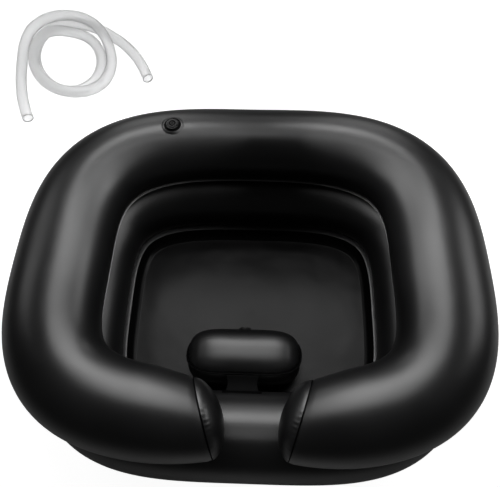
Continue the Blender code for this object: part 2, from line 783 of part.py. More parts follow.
def stopper(name, frame, sizes, colour):
    """A push-in stopper with its strap and hinge roll, in a frame whose Z points out of the bore.

    Its object's origin is on the hinge, beside the rim that it seats on.
    """
    head_radius, head_thickness, plug_radius, tip_radius, plug_length = sizes[:5]
    strap_width, hinge_radius, hinge_length = sizes[5:]
    hinge_x = head_radius + TOUCH_GAP + hinge_radius
    base = TOUCH_GAP
    hinge_z = base + hinge_radius
    head = cylinder_mesh(name, head_radius, base, base + head_thickness, STOPPER_STEPS)
    part = add_part(name, head, colour)
    plug = cylinder_mesh(
        name + "_plug", plug_radius, -plug_length, base + head_thickness / 2, STOPPER_STEPS, tip_radius
    )
    strap = box_mesh(
        name + "_strap",
        (plug_radius, -strap_width / 2, base),
        (hinge_x, strap_width / 2, base + head_thickness * STOPPER_STRAP_SHARE),
    )
    roll = cylinder_mesh(name + "_roll", hinge_radius, -hinge_length / 2, hinge_length / 2, HINGE_STEPS)
    roll.transform(Matrix.Translation((hinge_x, 0.0, hinge_z)) @ Matrix.Rotation(math.pi / 2, 4, "X"))
    shift = Matrix.Translation((-hinge_x, 0.0, -hinge_z))
    for data in (head, plug, strap, roll):
        data.transform(shift)
    placed = frame @ Matrix.Translation((hinge_x, 0.0, hinge_z))
    part.matrix_world = placed
    for data in (plug, strap, roll):
        other = add_cutter(data.name, data)
        other.matrix_world = placed
        cut(part, other, "UNION")
    return part


def valve(prefix, chamber, frame, seat_radius):
    """A seat welded in the skin, a stem that slides in it, and the stopper of its bore."""
    top = VALVE_SEAT_PROUD
    bottom = top - VALVE_SEAT_THICKNESS
    recess = cylinder_mesh(
        prefix + "_recess",
        seat_radius + TOUCH_GAP,
        bottom - TOUCH_GAP,
        seat_radius,
        VALVE_STEPS,
    )
    cutter = add_cutter(prefix + "_recess", recess)
    cutter.matrix_world = frame
    cut(chamber, cutter)
    well = cylinder_mesh(
        prefix + "_well", VALVE_WELL_RADIUS, bottom - VALVE_WELL_DEPTH, CUT_OVERRUN, VALVE_STEPS
    )
    cutter = add_cutter(prefix + "_well", well)
    cutter.matrix_world = frame
    cut(chamber, cutter)
    hole = VALVE_STEM_RADIUS + TOUCH_GAP
    seat = turned(
        prefix + "_seat",
        [
            (hole, top),
            (seat_radius - VALVE_SEAT_THICKNESS / 2, top),
            (seat_radius, top - VALVE_SEAT_THICKNESS / 2),
            (seat_radius, bottom),
            (hole, bottom),
        ],
        VALVE_STEPS,
        True,
    )
    seat.matrix_world = frame
    rim_base = top + TOUCH_GAP
    rim_top = rim_base + VALVE_RIM_THICKNESS
    stem = turned(
        prefix + "_stem",
        [
            (VALVE_BORE_RADIUS, rim_top),
            (VALVE_RIM_RADIUS, rim_top),
            (VALVE_RIM_RADIUS, rim_base),
            (VALVE_STEM_RADIUS, rim_base),
            (VALVE_STEM_RADIUS, rim_top - VALVE_STEM_LENGTH),
            (VALVE_BORE_RADIUS, rim_top - VALVE_STEM_LENGTH),
        ],
        VALVE_STEPS,
        True,
    )
    stem.matrix_world = frame
    sizes = (
        STOPPER_HEAD_RADIUS,
        STOPPER_HEAD_THICKNESS,
        STOPPER_PLUG_RADIUS,
        STOPPER_TIP_RADIUS,
        STOPPER_PLUG_LENGTH,
        STOPPER_STRAP_WIDTH,
        STOPPER_HINGE_RADIUS,
        STOPPER_HINGE_LENGTH,
    )
    stopper(prefix + "_stopper", frame @ Matrix.Translation((0.0, 0.0, rim_top)), sizes, VALVE_COLOUR)


def upper_crown(x):
    """The top of the upper chamber over its axis, at the back, at a given x."""
    back = [p for p in upper_dense() if p.y > UPPER_MIDDLE_Y]
    near = min(back, key=lambda p: abs(p.x - x))
    height = UPPER_AXIS_Z + upper_radius(near) * UPPER_SQUASH_SHARE
    return Vector((near.x, near.y, height))


def drain(ring):
    """A duct through the lower chamber, a flanged inlet inside, a barbed spout outside, a stopper."""
    line = lower_path(DENSE_POINTS)
    right = [p for p in line if p.x > 0]
    axis_x = min(right, key=lambda p: abs(p.y - DRAIN_Y)).x
    wall = wall_offset(LOWER_RADIUS, LOWER_SQUASH_SHARE, LOWER_AXIS_Z, DRAIN_HEIGHT)
    inner_x = axis_x - wall + DRAIN_SEAT_DEPTH
    outer_x = axis_x + wall - DRAIN_SEAT_DEPTH
    middle = Vector(((inner_x + outer_x) / 2, DRAIN_Y, DRAIN_HEIGHT))
    outside = frame_at(Vector((outer_x, middle.y, middle.z)), (1.0, 0.0, 0.0), (0.0, 0.0, 1.0))
    inside = frame_at(Vector((inner_x, middle.y, middle.z)), (-1.0, 0.0, 0.0), (0.0, 0.0, 1.0))
    length = outer_x - inner_x
    bore = cylinder_mesh(
        "duct_cutter", DRAIN_DUCT_RADIUS + TOUCH_GAP, -length - CUT_OVERRUN, CUT_OVERRUN, DRAIN_STEPS
    )
    cutter = add_cutter("duct_cutter", bore)
    cutter.matrix_world = outside
    cut(ring, cutter)
    for name, frame in (("outlet_recess", outside), ("inlet_recess", inside)):
        recess = cylinder_mesh(
            name, DRAIN_FLANGE_RADIUS + TOUCH_GAP, 0.0, DRAIN_FLANGE_RADIUS, DRAIN_STEPS
        )
        cutter = add_cutter(name, recess)
        cutter.matrix_world = frame
        cut(ring, cutter)
    duct = turned(
        "drain_duct",
        [
            (DRAIN_BORE_RADIUS, 0.0),
            (DRAIN_DUCT_RADIUS, 0.0),
            (DRAIN_DUCT_RADIUS, -length),
            (DRAIN_BORE_RADIUS, -length),
        ],
        DRAIN_STEPS,
        True,
    )
    duct.matrix_world = outside
    face = DRAIN_FLANGE_THICKNESS + TOUCH_GAP
    inlet = turned(
        "drain_inlet",
        [
            (DRAIN_BORE_RADIUS, face),
            (DRAIN_FLANGE_RADIUS - DRAIN_FLANGE_THICKNESS / 2, face),
            (DRAIN_FLANGE_RADIUS, face - DRAIN_FLANGE_THICKNESS / 2),
            (DRAIN_FLANGE_RADIUS, TOUCH_GAP),
            (DRAIN_BORE_RADIUS, TOUCH_GAP),
        ],
        DRAIN_STEPS,
        True,
    )
    inlet.matrix_world = inside
    root = face + DRAIN_SPOUT_ROOT_LENGTH
    profile = [(DRAIN_SPOUT_BORE_RADIUS, root + DRAIN_BARB_COUNT * DRAIN_BARB_PITCH)]
    for i in range(DRAIN_BARB_COUNT, 0, -1):
        foot = root + (i - 1) * DRAIN_BARB_PITCH
        profile.append((DRAIN_SPOUT_RADIUS, foot + DRAIN_BARB_PITCH))
        profile.append((DRAIN_BARB_RADIUS, foot))
    profile += [
        (DRAIN_SPOUT_RADIUS, face + DRAIN_SPOUT_ROOT_LENGTH / 2),
        (DRAIN_SPOUT_RADIUS, face),
        (DRAIN_FLANGE_RADIUS, face),
        (DRAIN_FLANGE_RADIUS, TOUCH_GAP),
        (DRAIN_SPOUT_BORE_RADIUS, TOUCH_GAP),
    ]
    spout = turned("drain_spout", profile, DRAIN_STEPS, True)
    spout.matrix_world = outside
    sizes = (
        DRAIN_HEAD_RADIUS,
        DRAIN_HEAD_THICKNESS,
        DRAIN_PLUG_RADIUS,
        DRAIN_TIP_RADIUS,
        DRAIN_PLUG_LENGTH,
        DRAIN_STRAP_WIDTH,
        DRAIN_HINGE_RADIUS,
        DRAIN_HINGE_LENGTH,
    )
    seat = Vector((inner_x - face, middle.y, middle.z))
    beside = frame_at(seat, (-1.0, 0.0, 0.0), (0.0, 1.0, 0.0))
    stopper("drain_stopper", beside, sizes, VALVE_COLOUR)


def smooth(share):
    """An even S-curve from 0 to 1."""
    share = min(max(share, 0.0), 1.0)
    return share * share * (3 - 2 * share)


def hose_point(across_share, back_share, lift_share):
    """A point of the hose's axis, from shares of its diameter off the middle of its coil."""
    y = HOSE_DIAMETER * back_share * HOSE_OVAL_SHARE
    x = HOSE_DIAMETER * across_share + y * HOSE_LEAN_SHARE
    lift = (HOSE_DIAMETER + HOSE_LAYER_GAP) * lift_share
    return Vector((HOSE_COIL_X + x, HOSE_COIL_Y + y, HOSE_DIAMETER / 2 + TOUCH_GAP + lift))


def hose_turn(turn):
    """The wound part: in from the right tail, two turns round, and out over the start."""
    inner, outer = HOSE_INNER_SHARE, HOSE_OUTER_SHARE
    wide_share = 1 - smooth(turn / HOSE_WIND_IN_SHARE)
    wide_share += smooth((turn - HOSE_WIND_OUT_FROM_SHARE) / HOSE_WIND_OUT_SHARE)
    reach = inner + (outer - inner) * wide_share
    lift = smooth((turn - HOSE_CLIMB_FROM_SHARE) / HOSE_CLIMB_SHARE)
    lift -= HOSE_DIP_SHARE * smooth((turn - HOSE_DIP_FROM_SHARE) / HOSE_DIP_LENGTH_SHARE)
    lift += HOSE_DIP_SHARE * smooth((turn - HOSE_RISE_FROM_SHARE) / HOSE_RISE_LENGTH_SHARE)
    angle = math.pi / 2 + math.tau * turn
    return hose_point(reach * math.cos(angle), reach * math.sin(angle), lift)


def curve_through(points, steps):
    """A smooth line through the points, with a number of steps between each two."""
    padded = [2 * points[0] - points[1]] + points + [2 * points[-1] - points[-2]]
    found = []
    for a, b, c, d in zip(padded, padded[1:], padded[2:], padded[3:]):
        bend = 2 * a - 5 * b + 4 * c - d
        twist = 3 * b - a - 3 * c + d
        for i in range(steps):
            s = i / steps
            found.append((2 * b + (c - a) * s + bend * s ** 2 + twist * s ** 3) / 2)
    found.append(points[-1])
    return found


def least_gap(points, diameter):
    """The least gap between stretches of a wound tube that aren't next to each other along it."""
    runs = [0.0]
    for a, b in zip(points, points[1:]):
        runs.append(runs[-1] + (b - a).length)
    least = runs[-1]
    for i, a in enumerate(points):
        for j in range(i + 1, len(points)):
            if runs[j] - runs[i] > math.pi * diameter:
                least = min(least, (points[j] - a).length)
    return least - diameter


def hose():
    """One clear tube, wound twice, in three lengths that meet end to end."""
    route = [hose_point(u, v, w) for u, v, w in HOSE_RIGHT_TAIL_SHARES]
    count = HOSE_TURNS * HOSE_TURN_POINTS
    route += [hose_turn(HOSE_TURNS * i / count) for i in range(count + 1)]
    route += [hose_point(u, v, w) for u, v, w in HOSE_LEFT_TAIL_SHARES]
    line = curve_through(route, HOSE_CURVE_STEPS)
    total = sum((b - a).length for a, b in zip(line, line[1:]))
    gap = least_gap(line, HOSE_DIAMETER)
    print("hose length", round(total, 4), "m, least gap", round(gap, 5), "m")
    first = HOSE_RIGHT_TAIL_POINTS * HOSE_CURVE_STEPS
    last = len(line) - 1 - HOSE_LEFT_TAIL_POINTS * HOSE_CURVE_STEPS
    lengths = (
        ("hose_tail_right", 0, first, HOSE_TAIL_STEP_SHARE),
        ("hose_coil", first, last, HOSE_COIL_STEP_SHARE),
        ("hose_tail_left", last, len(line) - 1, HOSE_TAIL_STEP_SHARE),
    )
    for name, start, stop, step_share in lengths:
        part_line = line[start : stop + 1]
        run = sum((b - a).length for a, b in zip(part_line, part_line[1:]))
        points = spaced(part_line, round(run / (HOSE_DIAMETER * step_share)), False)
        if start > 0:
            points = square_end(line, start, 1) + points[1:]
        if stop < len(line) - 1:
            points = points[:-1] + square_end(line, stop, -1)[::-1]
        hose_length(name, points)


def square_end(line, index, way):
    """The end of a length that meets its neighbour squarely, drawn back by half their gap."""
    along = (line[index + 1] - line[index - 1]).normalized() * way
    back = HOSE_DIAMETER * HOSE_SQUARE_SHARE
    return [line[index] + along * (TOUCH_GAP / 2), line[index] + along * back]


def hose_length(name, points):
    """One length of the hose along its axis points."""
    data = bpy.data.curves.new(name, "CURVE")
    data.dimensions = "3D"
    data.bevel_depth = HOSE_DIAMETER / 2
    data.bevel_resolution = HOSE_SIDES_RESOLUTION
    data.use_fill_caps = True
    line = data.splines.new("POLY")
    line.points.add(len(points) - 1)
    for spot, p in zip(line.points, points):
        spot.co = (p.x, p.y, p.z, 1.0)
    return add_part(name, data, HOSE_COLOUR, HOSE_ROUGHNESS)


for old in list(bpy.data.objects):
    bpy.data.objects.remove(old)

PARTS = collection("portable_shampoo_basin")
CUTTERS = collection("cutters")

LEVEL_LOW = (-BASIN_WIDTH, -BASIN_WIDTH, 0.0)
LEVEL_HIGH = (BASIN_WIDTH, BASIN_WIDTH, UPPER_BASE_Z)
LEVEL = add_cutter("strip_cutter", box_mesh("strip_cutter", LEVEL_LOW, LEVEL_HIGH))
RING = lower_ring()
C_TUBE = upper_ring(LEVEL)
end_cap("end_cap_left", LEFT_END_X, LEVEL)
end_cap("end_cap_right", RIGHT_END_X, LEVEL)
chamber_strip()
upper_seam()
floor_seam()
floor_sheet()
HEADREST = pillow()
pillow_seam()
pillow_tab()
drain(RING)
valve(
    "upper_valve",
    C_TUBE,
    frame_at(upper_crown(UPPER_VALVE_X), (0.0, 0.0, 1.0)),
    VALVE_SEAT_RADIUS,
)
LOWER_BACK = Vector((0.0, LOWER_MIDDLE_Y + LOWER_HALF_Y + LOWER_RADIUS, LOWER_AXIS_Z))
valve("lower_valve", RING, frame_at(LOWER_BACK, (0.0, 1.0, 0.0), (0.0, 0.0, 1.0)), VALVE_SEAT_RADIUS)
valve("pillow_valve", HEADREST, pillow_valve_frame(), PILLOW_SEAT_RADIUS)
hose()
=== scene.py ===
import math

import bmesh
import bpy
from mathutils import Matrix, Vector, noise


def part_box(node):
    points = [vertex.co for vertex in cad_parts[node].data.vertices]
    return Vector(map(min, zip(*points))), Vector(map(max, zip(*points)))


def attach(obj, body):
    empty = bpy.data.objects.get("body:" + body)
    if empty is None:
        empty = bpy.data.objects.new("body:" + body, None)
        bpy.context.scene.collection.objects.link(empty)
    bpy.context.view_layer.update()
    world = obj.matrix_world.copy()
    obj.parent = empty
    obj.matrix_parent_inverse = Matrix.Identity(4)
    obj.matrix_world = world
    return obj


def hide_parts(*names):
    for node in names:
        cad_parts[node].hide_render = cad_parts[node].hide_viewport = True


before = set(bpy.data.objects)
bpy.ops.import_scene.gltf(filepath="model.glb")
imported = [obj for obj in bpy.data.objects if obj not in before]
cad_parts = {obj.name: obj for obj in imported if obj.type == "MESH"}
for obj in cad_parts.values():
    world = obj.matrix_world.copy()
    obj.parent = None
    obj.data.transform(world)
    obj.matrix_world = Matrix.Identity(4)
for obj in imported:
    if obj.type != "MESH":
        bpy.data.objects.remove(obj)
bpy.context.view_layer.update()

# Camera, at the photograph's viewing angle; degrees and millimetres of lens
CAMERA_PLACE = Vector((0.0207, -0.2852, 0.8190))
CAMERA_PITCH = 64.0
CAMERA_YAW = -3.8
CAMERA_ROLL = -2.14
CAMERA_LENS = 39.63
CAMERA_SENSOR = 36.0
CAMERA_NEAR = 0.02
CAMERA_FAR = 60.0

# Sizes shared with the solids, in metres and radians
BASIN_WIDTH = 0.620
BASIN_DEPTH = 0.508
GAP = 0.0003
SHEET = 0.0010
LOWER_WIDTH = 0.598
LOWER_DEPTH = 0.498
LOWER_RADIUS = 0.058
LOWER_SQUASH = 0.90
LOWER_FRONT_POWER = 3.88
LOWER_BACK_POWER = 3.33
UPPER_DEPTH = 0.496
UPPER_SIDE_RADIUS = 0.0613
UPPER_FRONT_RADIUS = 0.0540
UPPER_BACK_RADIUS = 0.0519
UPPER_SQUASH = 0.93
UPPER_FRONT_POWER = 3.47
UPPER_BACK_POWER = 3.26
UPPER_FLARE_SHARE = 0.02
NECK_MIDDLE_X = 0.0085
NECK_WIDTH = 0.115
END_TILT = math.radians(17.0)
END_TAPER_SHARE = 0.14
END_TAPER_LENGTH = 0.075
END_BULGE = 0.023

# Places read from the frame, and what follows from them
LOWER_TOP_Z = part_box("lower_ring")[1][2]
UPPER_LOW, UPPER_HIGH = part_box("upper_ring")
UPPER_BASE_Z = UPPER_LOW[2]
LOWER_AXIS_Z = LOWER_TOP_Z / 2
UPPER_AXIS_Z = UPPER_HIGH[2] - UPPER_SIDE_RADIUS * UPPER_SQUASH
LOWER_HALF_X = LOWER_WIDTH / 2 - LOWER_RADIUS
LOWER_HALF_Y = LOWER_DEPTH / 2 - LOWER_RADIUS
LOWER_MIDDLE_Y = (LOWER_DEPTH - BASIN_DEPTH) / 2
UPPER_HALF_X = BASIN_WIDTH / 2 - UPPER_SIDE_RADIUS
UPPER_HALF_Y = (UPPER_DEPTH - UPPER_FRONT_RADIUS - UPPER_BACK_RADIUS) / 2
UPPER_MIDDLE_Y = BASIN_DEPTH / 2 - UPPER_BACK_RADIUS - UPPER_HALF_Y
LEFT_END_X = NECK_MIDDLE_X - NECK_WIDTH / 2
RIGHT_END_X = NECK_MIDDLE_X + NECK_WIDTH / 2

# Welded seams round the bowl, with a slow ripple in their edges
UPPER_SEAM_HEIGHT = 0.121
UPPER_SEAM_REACH = 0.0032
UPPER_SEAM_RIPPLE = 0.0004
FLOOR_SEAM_HEIGHT = 0.020
FLOOR_SEAM_REACH = 0.0105
FLOOR_SEAM_RIPPLE = 0.0003
SEAM_POINTS = 560
SEAM_ROUND_SHARE = 0.3
RIPPLE_SCALE = 40.0
FINE_RIPPLE_SCALE = 150.0
FINE_RIPPLE_SHARE = 0.35

# Headrest pillow, mostly as in the solids; metres, and degrees for the valve
PILLOW_WIDTH = 0.164
PILLOW_DEPTH = 0.081
PILLOW_HEIGHT = 0.072
PILLOW_WIDTH_POWER = 4.2
PILLOW_DEPTH_POWER = 2.6
PILLOW_WAIST_SHARE = 0.05
PILLOW_MIDDLE_X = -0.0070
PILLOW_MIDDLE_Y = LOWER_MIDDLE_Y - LOWER_HALF_Y + LOWER_RADIUS + 0.0510
PILLOW_MIDDLE_Z = 0.0383
PILLOW_MIDDLE = Vector((PILLOW_MIDDLE_X, PILLOW_MIDDLE_Y, PILLOW_MIDDLE_Z))
PILLOW_LIP_REACH = 0.0026
PILLOW_SEAM_LIFT = 0.0090
PILLOW_SEAM_TILT = math.radians(32.0)
PILLOW_SEAM_UP = Vector((0.0, math.sin(PILLOW_SEAM_TILT), math.cos(PILLOW_SEAM_TILT)))
PILLOW_SEAM_BACK = Vector((0.0, PILLOW_SEAM_UP.z, -PILLOW_SEAM_UP.y))
PILLOW_VALVE_ANGLE = 17.5
PILLOW_VALVE_ANGLE_STEP = 1.0
PILLOW_VALVE_SINK = 0.0015
PILLOW_CUTS = 46
PILLOW_SEARCH_STEPS = 24
PILLOW_PUCKERS = 34
PILLOW_PUCKER_DEPTH = 0.0006
PILLOW_PUCKER_WIDTH = 0.011
PILLOW_GATHER_WIDTH = 0.0085
PILLOW_PINCH_DEPTH = 0.0010
PILLOW_PINCH_WIDTH = 0.0016
PILLOW_LIP_POINTS = 640
PILLOW_LIP_ROOT = 0.0012
PILLOW_LIP_WAVE = 0.0005
PILLOW_LIP_HALF_SHARE = 0.35

# The pillow's tab, and the pad that it is welded on with
TAB_STEPS = 14
TAB_FRONT_OVERLAP = 0.0002
TAB_OVERLAPS = 0.0006
TAB_SAG = 0.0009
TAB_WAIST_SHARE = 0.10
TAB_HALF_SHARE = 0.4
PAD_STEPS = 10
PAD_HEIGHT = 0.016
PAD_THICKNESS = 0.0007
PAD_MARGIN = 0.004
PAD_SINK = 0.0004
PAD_ROUNDING = 0.0003
PAD_EDGE_RATE = 0.6
PAD_EDGE_SHARE = 0.35

# Valves and drain, as in the solids
VALVE_SEAT_RADIUS = 0.0150
VALVE_SEAT_LOW = 0.0016
VALVE_SEAT_PROUD = 0.0006
VALVE_STEM_RADIUS = 0.0060
VALVE_BORE_RADIUS = 0.0032
VALVE_STEM_LENGTH = 0.0160
VALVE_RIM_RADIUS = 0.0086
VALVE_RIM_THICKNESS = 0.0016
VALVE_RIM_CLEARANCE = 0.0001
VALVE_RIM_DISH_WIDTH = 0.0016
VALVE_RIM_BAND_WIDTH = 0.0011
VALVE_RIM_RISE = 0.0001
VALVE_GROOVE_WIDTH = 0.0030
VALVE_GROOVE_DEPTH = 0.0012
VALVE_GROOVE_FOOT = 0.0002
VALVE_GROOVE_EASE = 0.0004
VALVE_GROOVE_MARGIN = 0.0008
VALVE_LIP_WIDTH = 0.0010
VALVE_LIP_FOOT = 0.0013
VALVE_LIP_RISE = 0.0003
VALVE_CROWN_EDGE = 0.0005
VALVE_CROWN_SHARE = 0.6
VALVE_CROWN_FALL = 0.0001
VALVE_FOLLOW_WIDTH = 0.0010
VALVE_EDGE_RISE = 0.0002
VALVE_EDGE_DIP = 0.0001
VALVE_EDGE_OVERLAP_SHARE = 1.6
VALVE_EDGE_DEPTH = 0.0006
VALVE_ROUNDING = 0.0002
VALVE_NEAR_REACH = 0.04
VALVE_WELL_RADIUS = 0.0078
VALVE_WELL_DEPTH = 0.0240
UPPER_VALVE_X = -0.1136
PILLOW_SEAT_RADIUS = 0.0105

# Stoppers: head's radius and thickness, plug's radius, tip's radius and plug's length,
# strap's width, hinge roll's radius and length
STOPPER_SIZES = (0.0065, 0.0014, 0.0026, 0.0018, 0.0030, 0.0042, 0.0009, 0.0060)
DRAIN_STOPPER_SIZES = (0.0112, 0.0022, 0.0076, 0.0062, 0.0060, 0.0070, 0.0013, 0.0100)
# The head's top, in shares of its radius and of its thickness below the top
STOPPER_DISH = (
    (0.02, 0.55), (0.18, 0.50), (0.24, 0.0), (0.38, 0.0),
    (0.44, 0.55), (0.70, 0.55), (0.78, 0.0), (1.0, 0.10),
)
# The plug's snap groove, in shares of its radius and of its length
STOPPER_SNAP = ((1.0, 0.25), (0.93, 0.34), (1.0, 0.45))
STOPPER_TIP_SHARE = 0.3
STOPPER_ROUND_SHARE = 0.16
# Heights and reach, in shares, of the dish faces that are painted with shade
STOPPER_DISH_LOW_SHARE = 0.3
STOPPER_DISH_HIGH_SHARE = 0.15
STOPPER_DISH_REACH_SHARE = 0.79
STRAP_START_SHARE = 0.86
STRAP_THICKNESS_SHARE = 0.8
STRAP_ROUND_SHARE = 0.2
ROLL_EYE_SHARE = 0.1
ROLL_ROUND_SHARE = 0.3
ROLL_SIDES = 32

# Drain, as in the solids
DRAIN_Y = LOWER_MIDDLE_Y - LOWER_HALF_Y + 0.086
DRAIN_HEIGHT = 0.0400
DRAIN_FLANGE_RADIUS = 0.0150
DRAIN_FLANGE_THICKNESS = 0.0025
DRAIN_SEAT_DEPTH = 0.0035
DRAIN_DUCT_RADIUS = 0.0110
DRAIN_BORE_RADIUS = 0.0085
DRAIN_SPOUT_RADIUS = 0.0076
DRAIN_SPOUT_BORE_RADIUS = 0.0058
DRAIN_BARB_RADIUS = 0.0084
DRAIN_BARB_PITCH = 0.0040
DRAIN_BARBS = 3
DRAIN_SPOUT_ROOT = 0.0015
DRAIN_LIP_WIDTH = 0.0018
DRAIN_LIP_FOOT = 0.0022
DRAIN_LIP_DEPTH = 0.0005
DRAIN_FACE_FALL = 0.0007
DRAIN_EDGE_FALL = 0.0015
DRAIN_CUT_OVERRUN = 0.004
DRAIN_FLANGE_CUT = 0.015
FLANGE_ROUNDING = 0.0004
MOULDED_ROUNDING = 0.0003

# Floor sheet
FLOOR_RIM_INSET = 0.0030
FLOOR_SLOPE_REACH = 0.0050
FLOOR_FOOT_REACH = 0.0110
FLOOR_SLOPE_STEPS = 6
FLOOR_POINTS = 360
FLOOR_RINGS = 60
FLOOR_RING_POWER = 1.5
FLOOR_THICKNESS_SHARE = 0.8
FLOOR_WAVE = 0.0010
FLOOR_WAVE_SCALE = 9.0
FLOOR_RIPPLE_SCALE = 23.0
FLOOR_RIPPLE_SHARE = 0.3
FLOOR_EASE_RATE = 6
FLOOR_TOE_RISE = 0.0014
FLOOR_TOE_LENGTH = 0.0300

# White ground, and the light that it and the world add, as strengths
WHITE = (1.0, 1.0, 1.0, 1.0)
GROUND_SIZE = 12.0
GROUND_DROP = 0.0004
GROUND_COLOUR = (0.45, 0.45, 0.45, 1.0)
GROUND_ROUGHNESS = 0.9
FLOOR_GLOW = 0.95
FLOOR_SHEEN = 0.04
WORLD_LIGHT = 0.04

# Lamps: name, place, what it faces, width, height, degrees of spread, watts
LAMPS = (
    ("left_strip", (-0.300, 0.21, 0.50), (-0.720, 0.15, 0.0), 0.44, 0.76, 90.0, 1.00),
    ("right_strip", (0.360, 0.21, 0.50), (0.780, 0.15, 0.0), 0.50, 0.76, 90.0, 1.28),
    ("front_strip", (0.0, 0.05, 0.50), (0.0, -0.42, 0.0), 0.50, 0.36, 90.0, 0.95),
    ("overhead", (0.0, 0.36, 0.85), (0.0, 0.29, 0.2), 0.95, 0.42, 40.0, 0.170),
    ("left_back", (-0.26, 0.62, 0.85), (-0.20, 0.28, 0.2), 0.22, 0.22, 40.0, 0.14),
    ("right_back", (0.20, 0.67, 0.85), (0.18, 0.28, 0.2), 0.22, 0.22, 40.0, 0.14),
    ("left_low", (-0.46, 1.30, 0.55), (0.0, 0.0, 0.1), 0.40, 0.50, 180.0, 1.00),
    ("right_low", (0.46, 1.30, 0.55), (0.0, 0.0, 0.1), 0.40, 0.50, 180.0, 1.00),
    ("left_side", (-1.00, 0.40, 0.80), (-0.1, 0.0, 0.1), 0.60, 0.50, 180.0, 1.50),
    ("right_side", (1.05, 0.30, 0.75), (0.1, 0.0, 0.1), 0.60, 0.50, 180.0, 3.20),
    ("arms", (0.0, 0.60, 0.50), (0.0, -0.17, 0.2), 0.60, 0.24, 24.0, 0.020),
    ("left_arm", (-0.340, 0.62, 0.60), (-0.17, -0.16, 0.2), 0.50, 0.44, 36.0, 0.036),
    ("right_arm", (0.310, 0.62, 0.60), (0.17, -0.16, 0.2), 0.50, 0.44, 36.0, 0.035),
)

# How finely the skins are drawn
DENSE_POINTS = 2880
LOWER_RINGS = 260
LOWER_SIDES = 84
UPPER_RINGS = 300
UPPER_SIDES = 96
TURNED_SIDES = 72
CUTTER_SIDES = 64
ROUNDING_STEPS = 4
ROUNDING_LIMIT_SHARE = 0.45
SHARP_ANGLE = 38.0
CUT_SHARP_ANGLE = 35.0
FLANGE_SHARP_ANGLE = 45.0

# End panels: weld, bulge and puckers
END_SKEW_LENGTH = 0.070
END_PINCH_DEPTH = 0.0010
END_PINCH_LENGTH = 0.0040
CAP_RINGS = 40
CAP_POWER = 0.62
CAP_RIM = 0.0012
CAP_SIDES = 480
LIP_ROOT = 0.0010
LIP_REACH = 0.0012
LIP_HALF = 0.0003
LIP_ROUND_SHARE = 0.7
PUCKER_DEPTH = 0.0006
PUCKER_COUNT = 44
PUCKER_START_RINGS = 3
PUCKER_REACH_SHARE = 0.18
PUCKER_FRONT_REACH = 0.030
PUCKER_FRONT_RUN = 0.040
PUCKER_BACK_SHARE = 0.10

# Black sheet: its scales, and the depths in metres
VINYL_IOR = 1.5
PATCH_SCALE = 14.0
PATCH_DETAIL = 3.0
PATCH_RANGE = (0.3, 0.7)
PATCH_TINTS = (0.85, 1.15)
PATCH_GLOSS_SPREAD = 0.05
GRAIN_SCALE = 1100.0
GRAIN_DETAIL = 2.0
GRAIN_DEPTH = 0.0003
SHEET_WAVE_SCALE = 26.0
SHEET_WAVE_DETAIL = 1.0
SHEET_WAVE_DEPTH = 0.0012

# Clear tube
CLEAR_COLOUR = (0.980, 0.982, 0.984, 1.0)
CLEAR_IOR = 1.38
CLEAR_TRANSMISSION = 0.82
CLEAR_ROUGHNESS = (0.27, 0.35)
CLEAR_SCALE = 30.0
CLEAR_DETAIL = 3.0


def smooth(share):
    share = min(max(share, 0.0), 1.0)
    return share * share * (3 - 2 * share)


def ring_point(angle, half_x, half_y, front_power, back_power, flare_share=0.0):
    """A point of a rounded rectangle about the origin; angle 0 is +X, a quarter turn is +Y."""
    c, s = math.cos(angle), math.sin(angle)
    power = front_power if s < 0 else back_power
    x = math.copysign(abs(c) ** (2 / power), c)
    y = math.copysign(abs(s) ** (2 / power), s)
    return Vector((x * half_x * (1 - flare_share * y), y * half_y, 0.0))


def spaced(points, count, closed):
    """The line through the points again, with count points at even steps along it."""
    line = points + points[:1] if closed else points
    runs = [0.0]
    for a, b in zip(line, line[1:]):
        runs.append(runs[-1] + (b - a).length)
    steps = count if closed else count - 1
    found, k = [], 0
    for i in range(count):
        along = runs[-1] * i / steps
        while k < len(line) - 2 and runs[k + 1] < along:
            k += 1
        share = (along - runs[k]) / max(runs[k + 1] - runs[k], 1e-9)
        found.append(line[k].lerp(line[k + 1], min(max(share, 0.0), 1.0)))
    return found


def inward(points, closed):
    """Unit vectors at right angles to a flat path, to its right-hand side going along it."""
    found = []
    count = len(points)
    for i in range(count):
        before = points[i - 1] if closed or i else points[i]
        after = points[(i + 1) % count] if closed or i < count - 1 else points[i]
        along = (after - before).normalized()
        found.append(Vector((along.y, -along.x, 0.0)))
    return found


def offset_line(points, offsets, closed):
    return [p + n * d for p, n, d in zip(points, inward(points, closed), offsets)]


def lower_path(count):
    shift = Vector((0.0, LOWER_MIDDLE_Y, 0.0))
    dense = []
    for i in range(DENSE_POINTS):
        angle = math.tau * i / DENSE_POINTS
        powers = (LOWER_FRONT_POWER, LOWER_BACK_POWER)
        dense.append(ring_point(angle, LOWER_HALF_X, LOWER_HALF_Y, *powers) + shift)
    return spaced(dense, count, True)


def upper_dense():
    shift = Vector((0.0, UPPER_MIDDLE_Y, 0.0))
    found = []
    for i in range(DENSE_POINTS):
        angle = -math.pi / 2 - math.tau * i / DENSE_POINTS
        powers = (UPPER_FRONT_POWER, UPPER_BACK_POWER)
        point = ring_point(angle, UPPER_HALF_X, UPPER_HALF_Y, *powers, UPPER_FLARE_SHARE)
        found.append(point + shift)
    return found


def upper_path(tail):
    """The C's axis points, from the left end round the back to the right end."""
    left, right = LEFT_END_X + tail, RIGHT_END_X - tail
    return [p for p in upper_dense() if p.y >= UPPER_MIDDLE_Y or not left < p.x < right]


def upper_radius(point):
    across = point.x / UPPER_HALF_X
    along = (point.y - UPPER_MIDDLE_Y) / UPPER_HALF_Y
    end_radius = UPPER_FRONT_RADIUS if along < 0 else UPPER_BACK_RADIUS
    side_share = math.cos(math.atan2(along, across)) ** 2
    return UPPER_SIDE_RADIUS * side_share + end_radius * (1 - side_share)


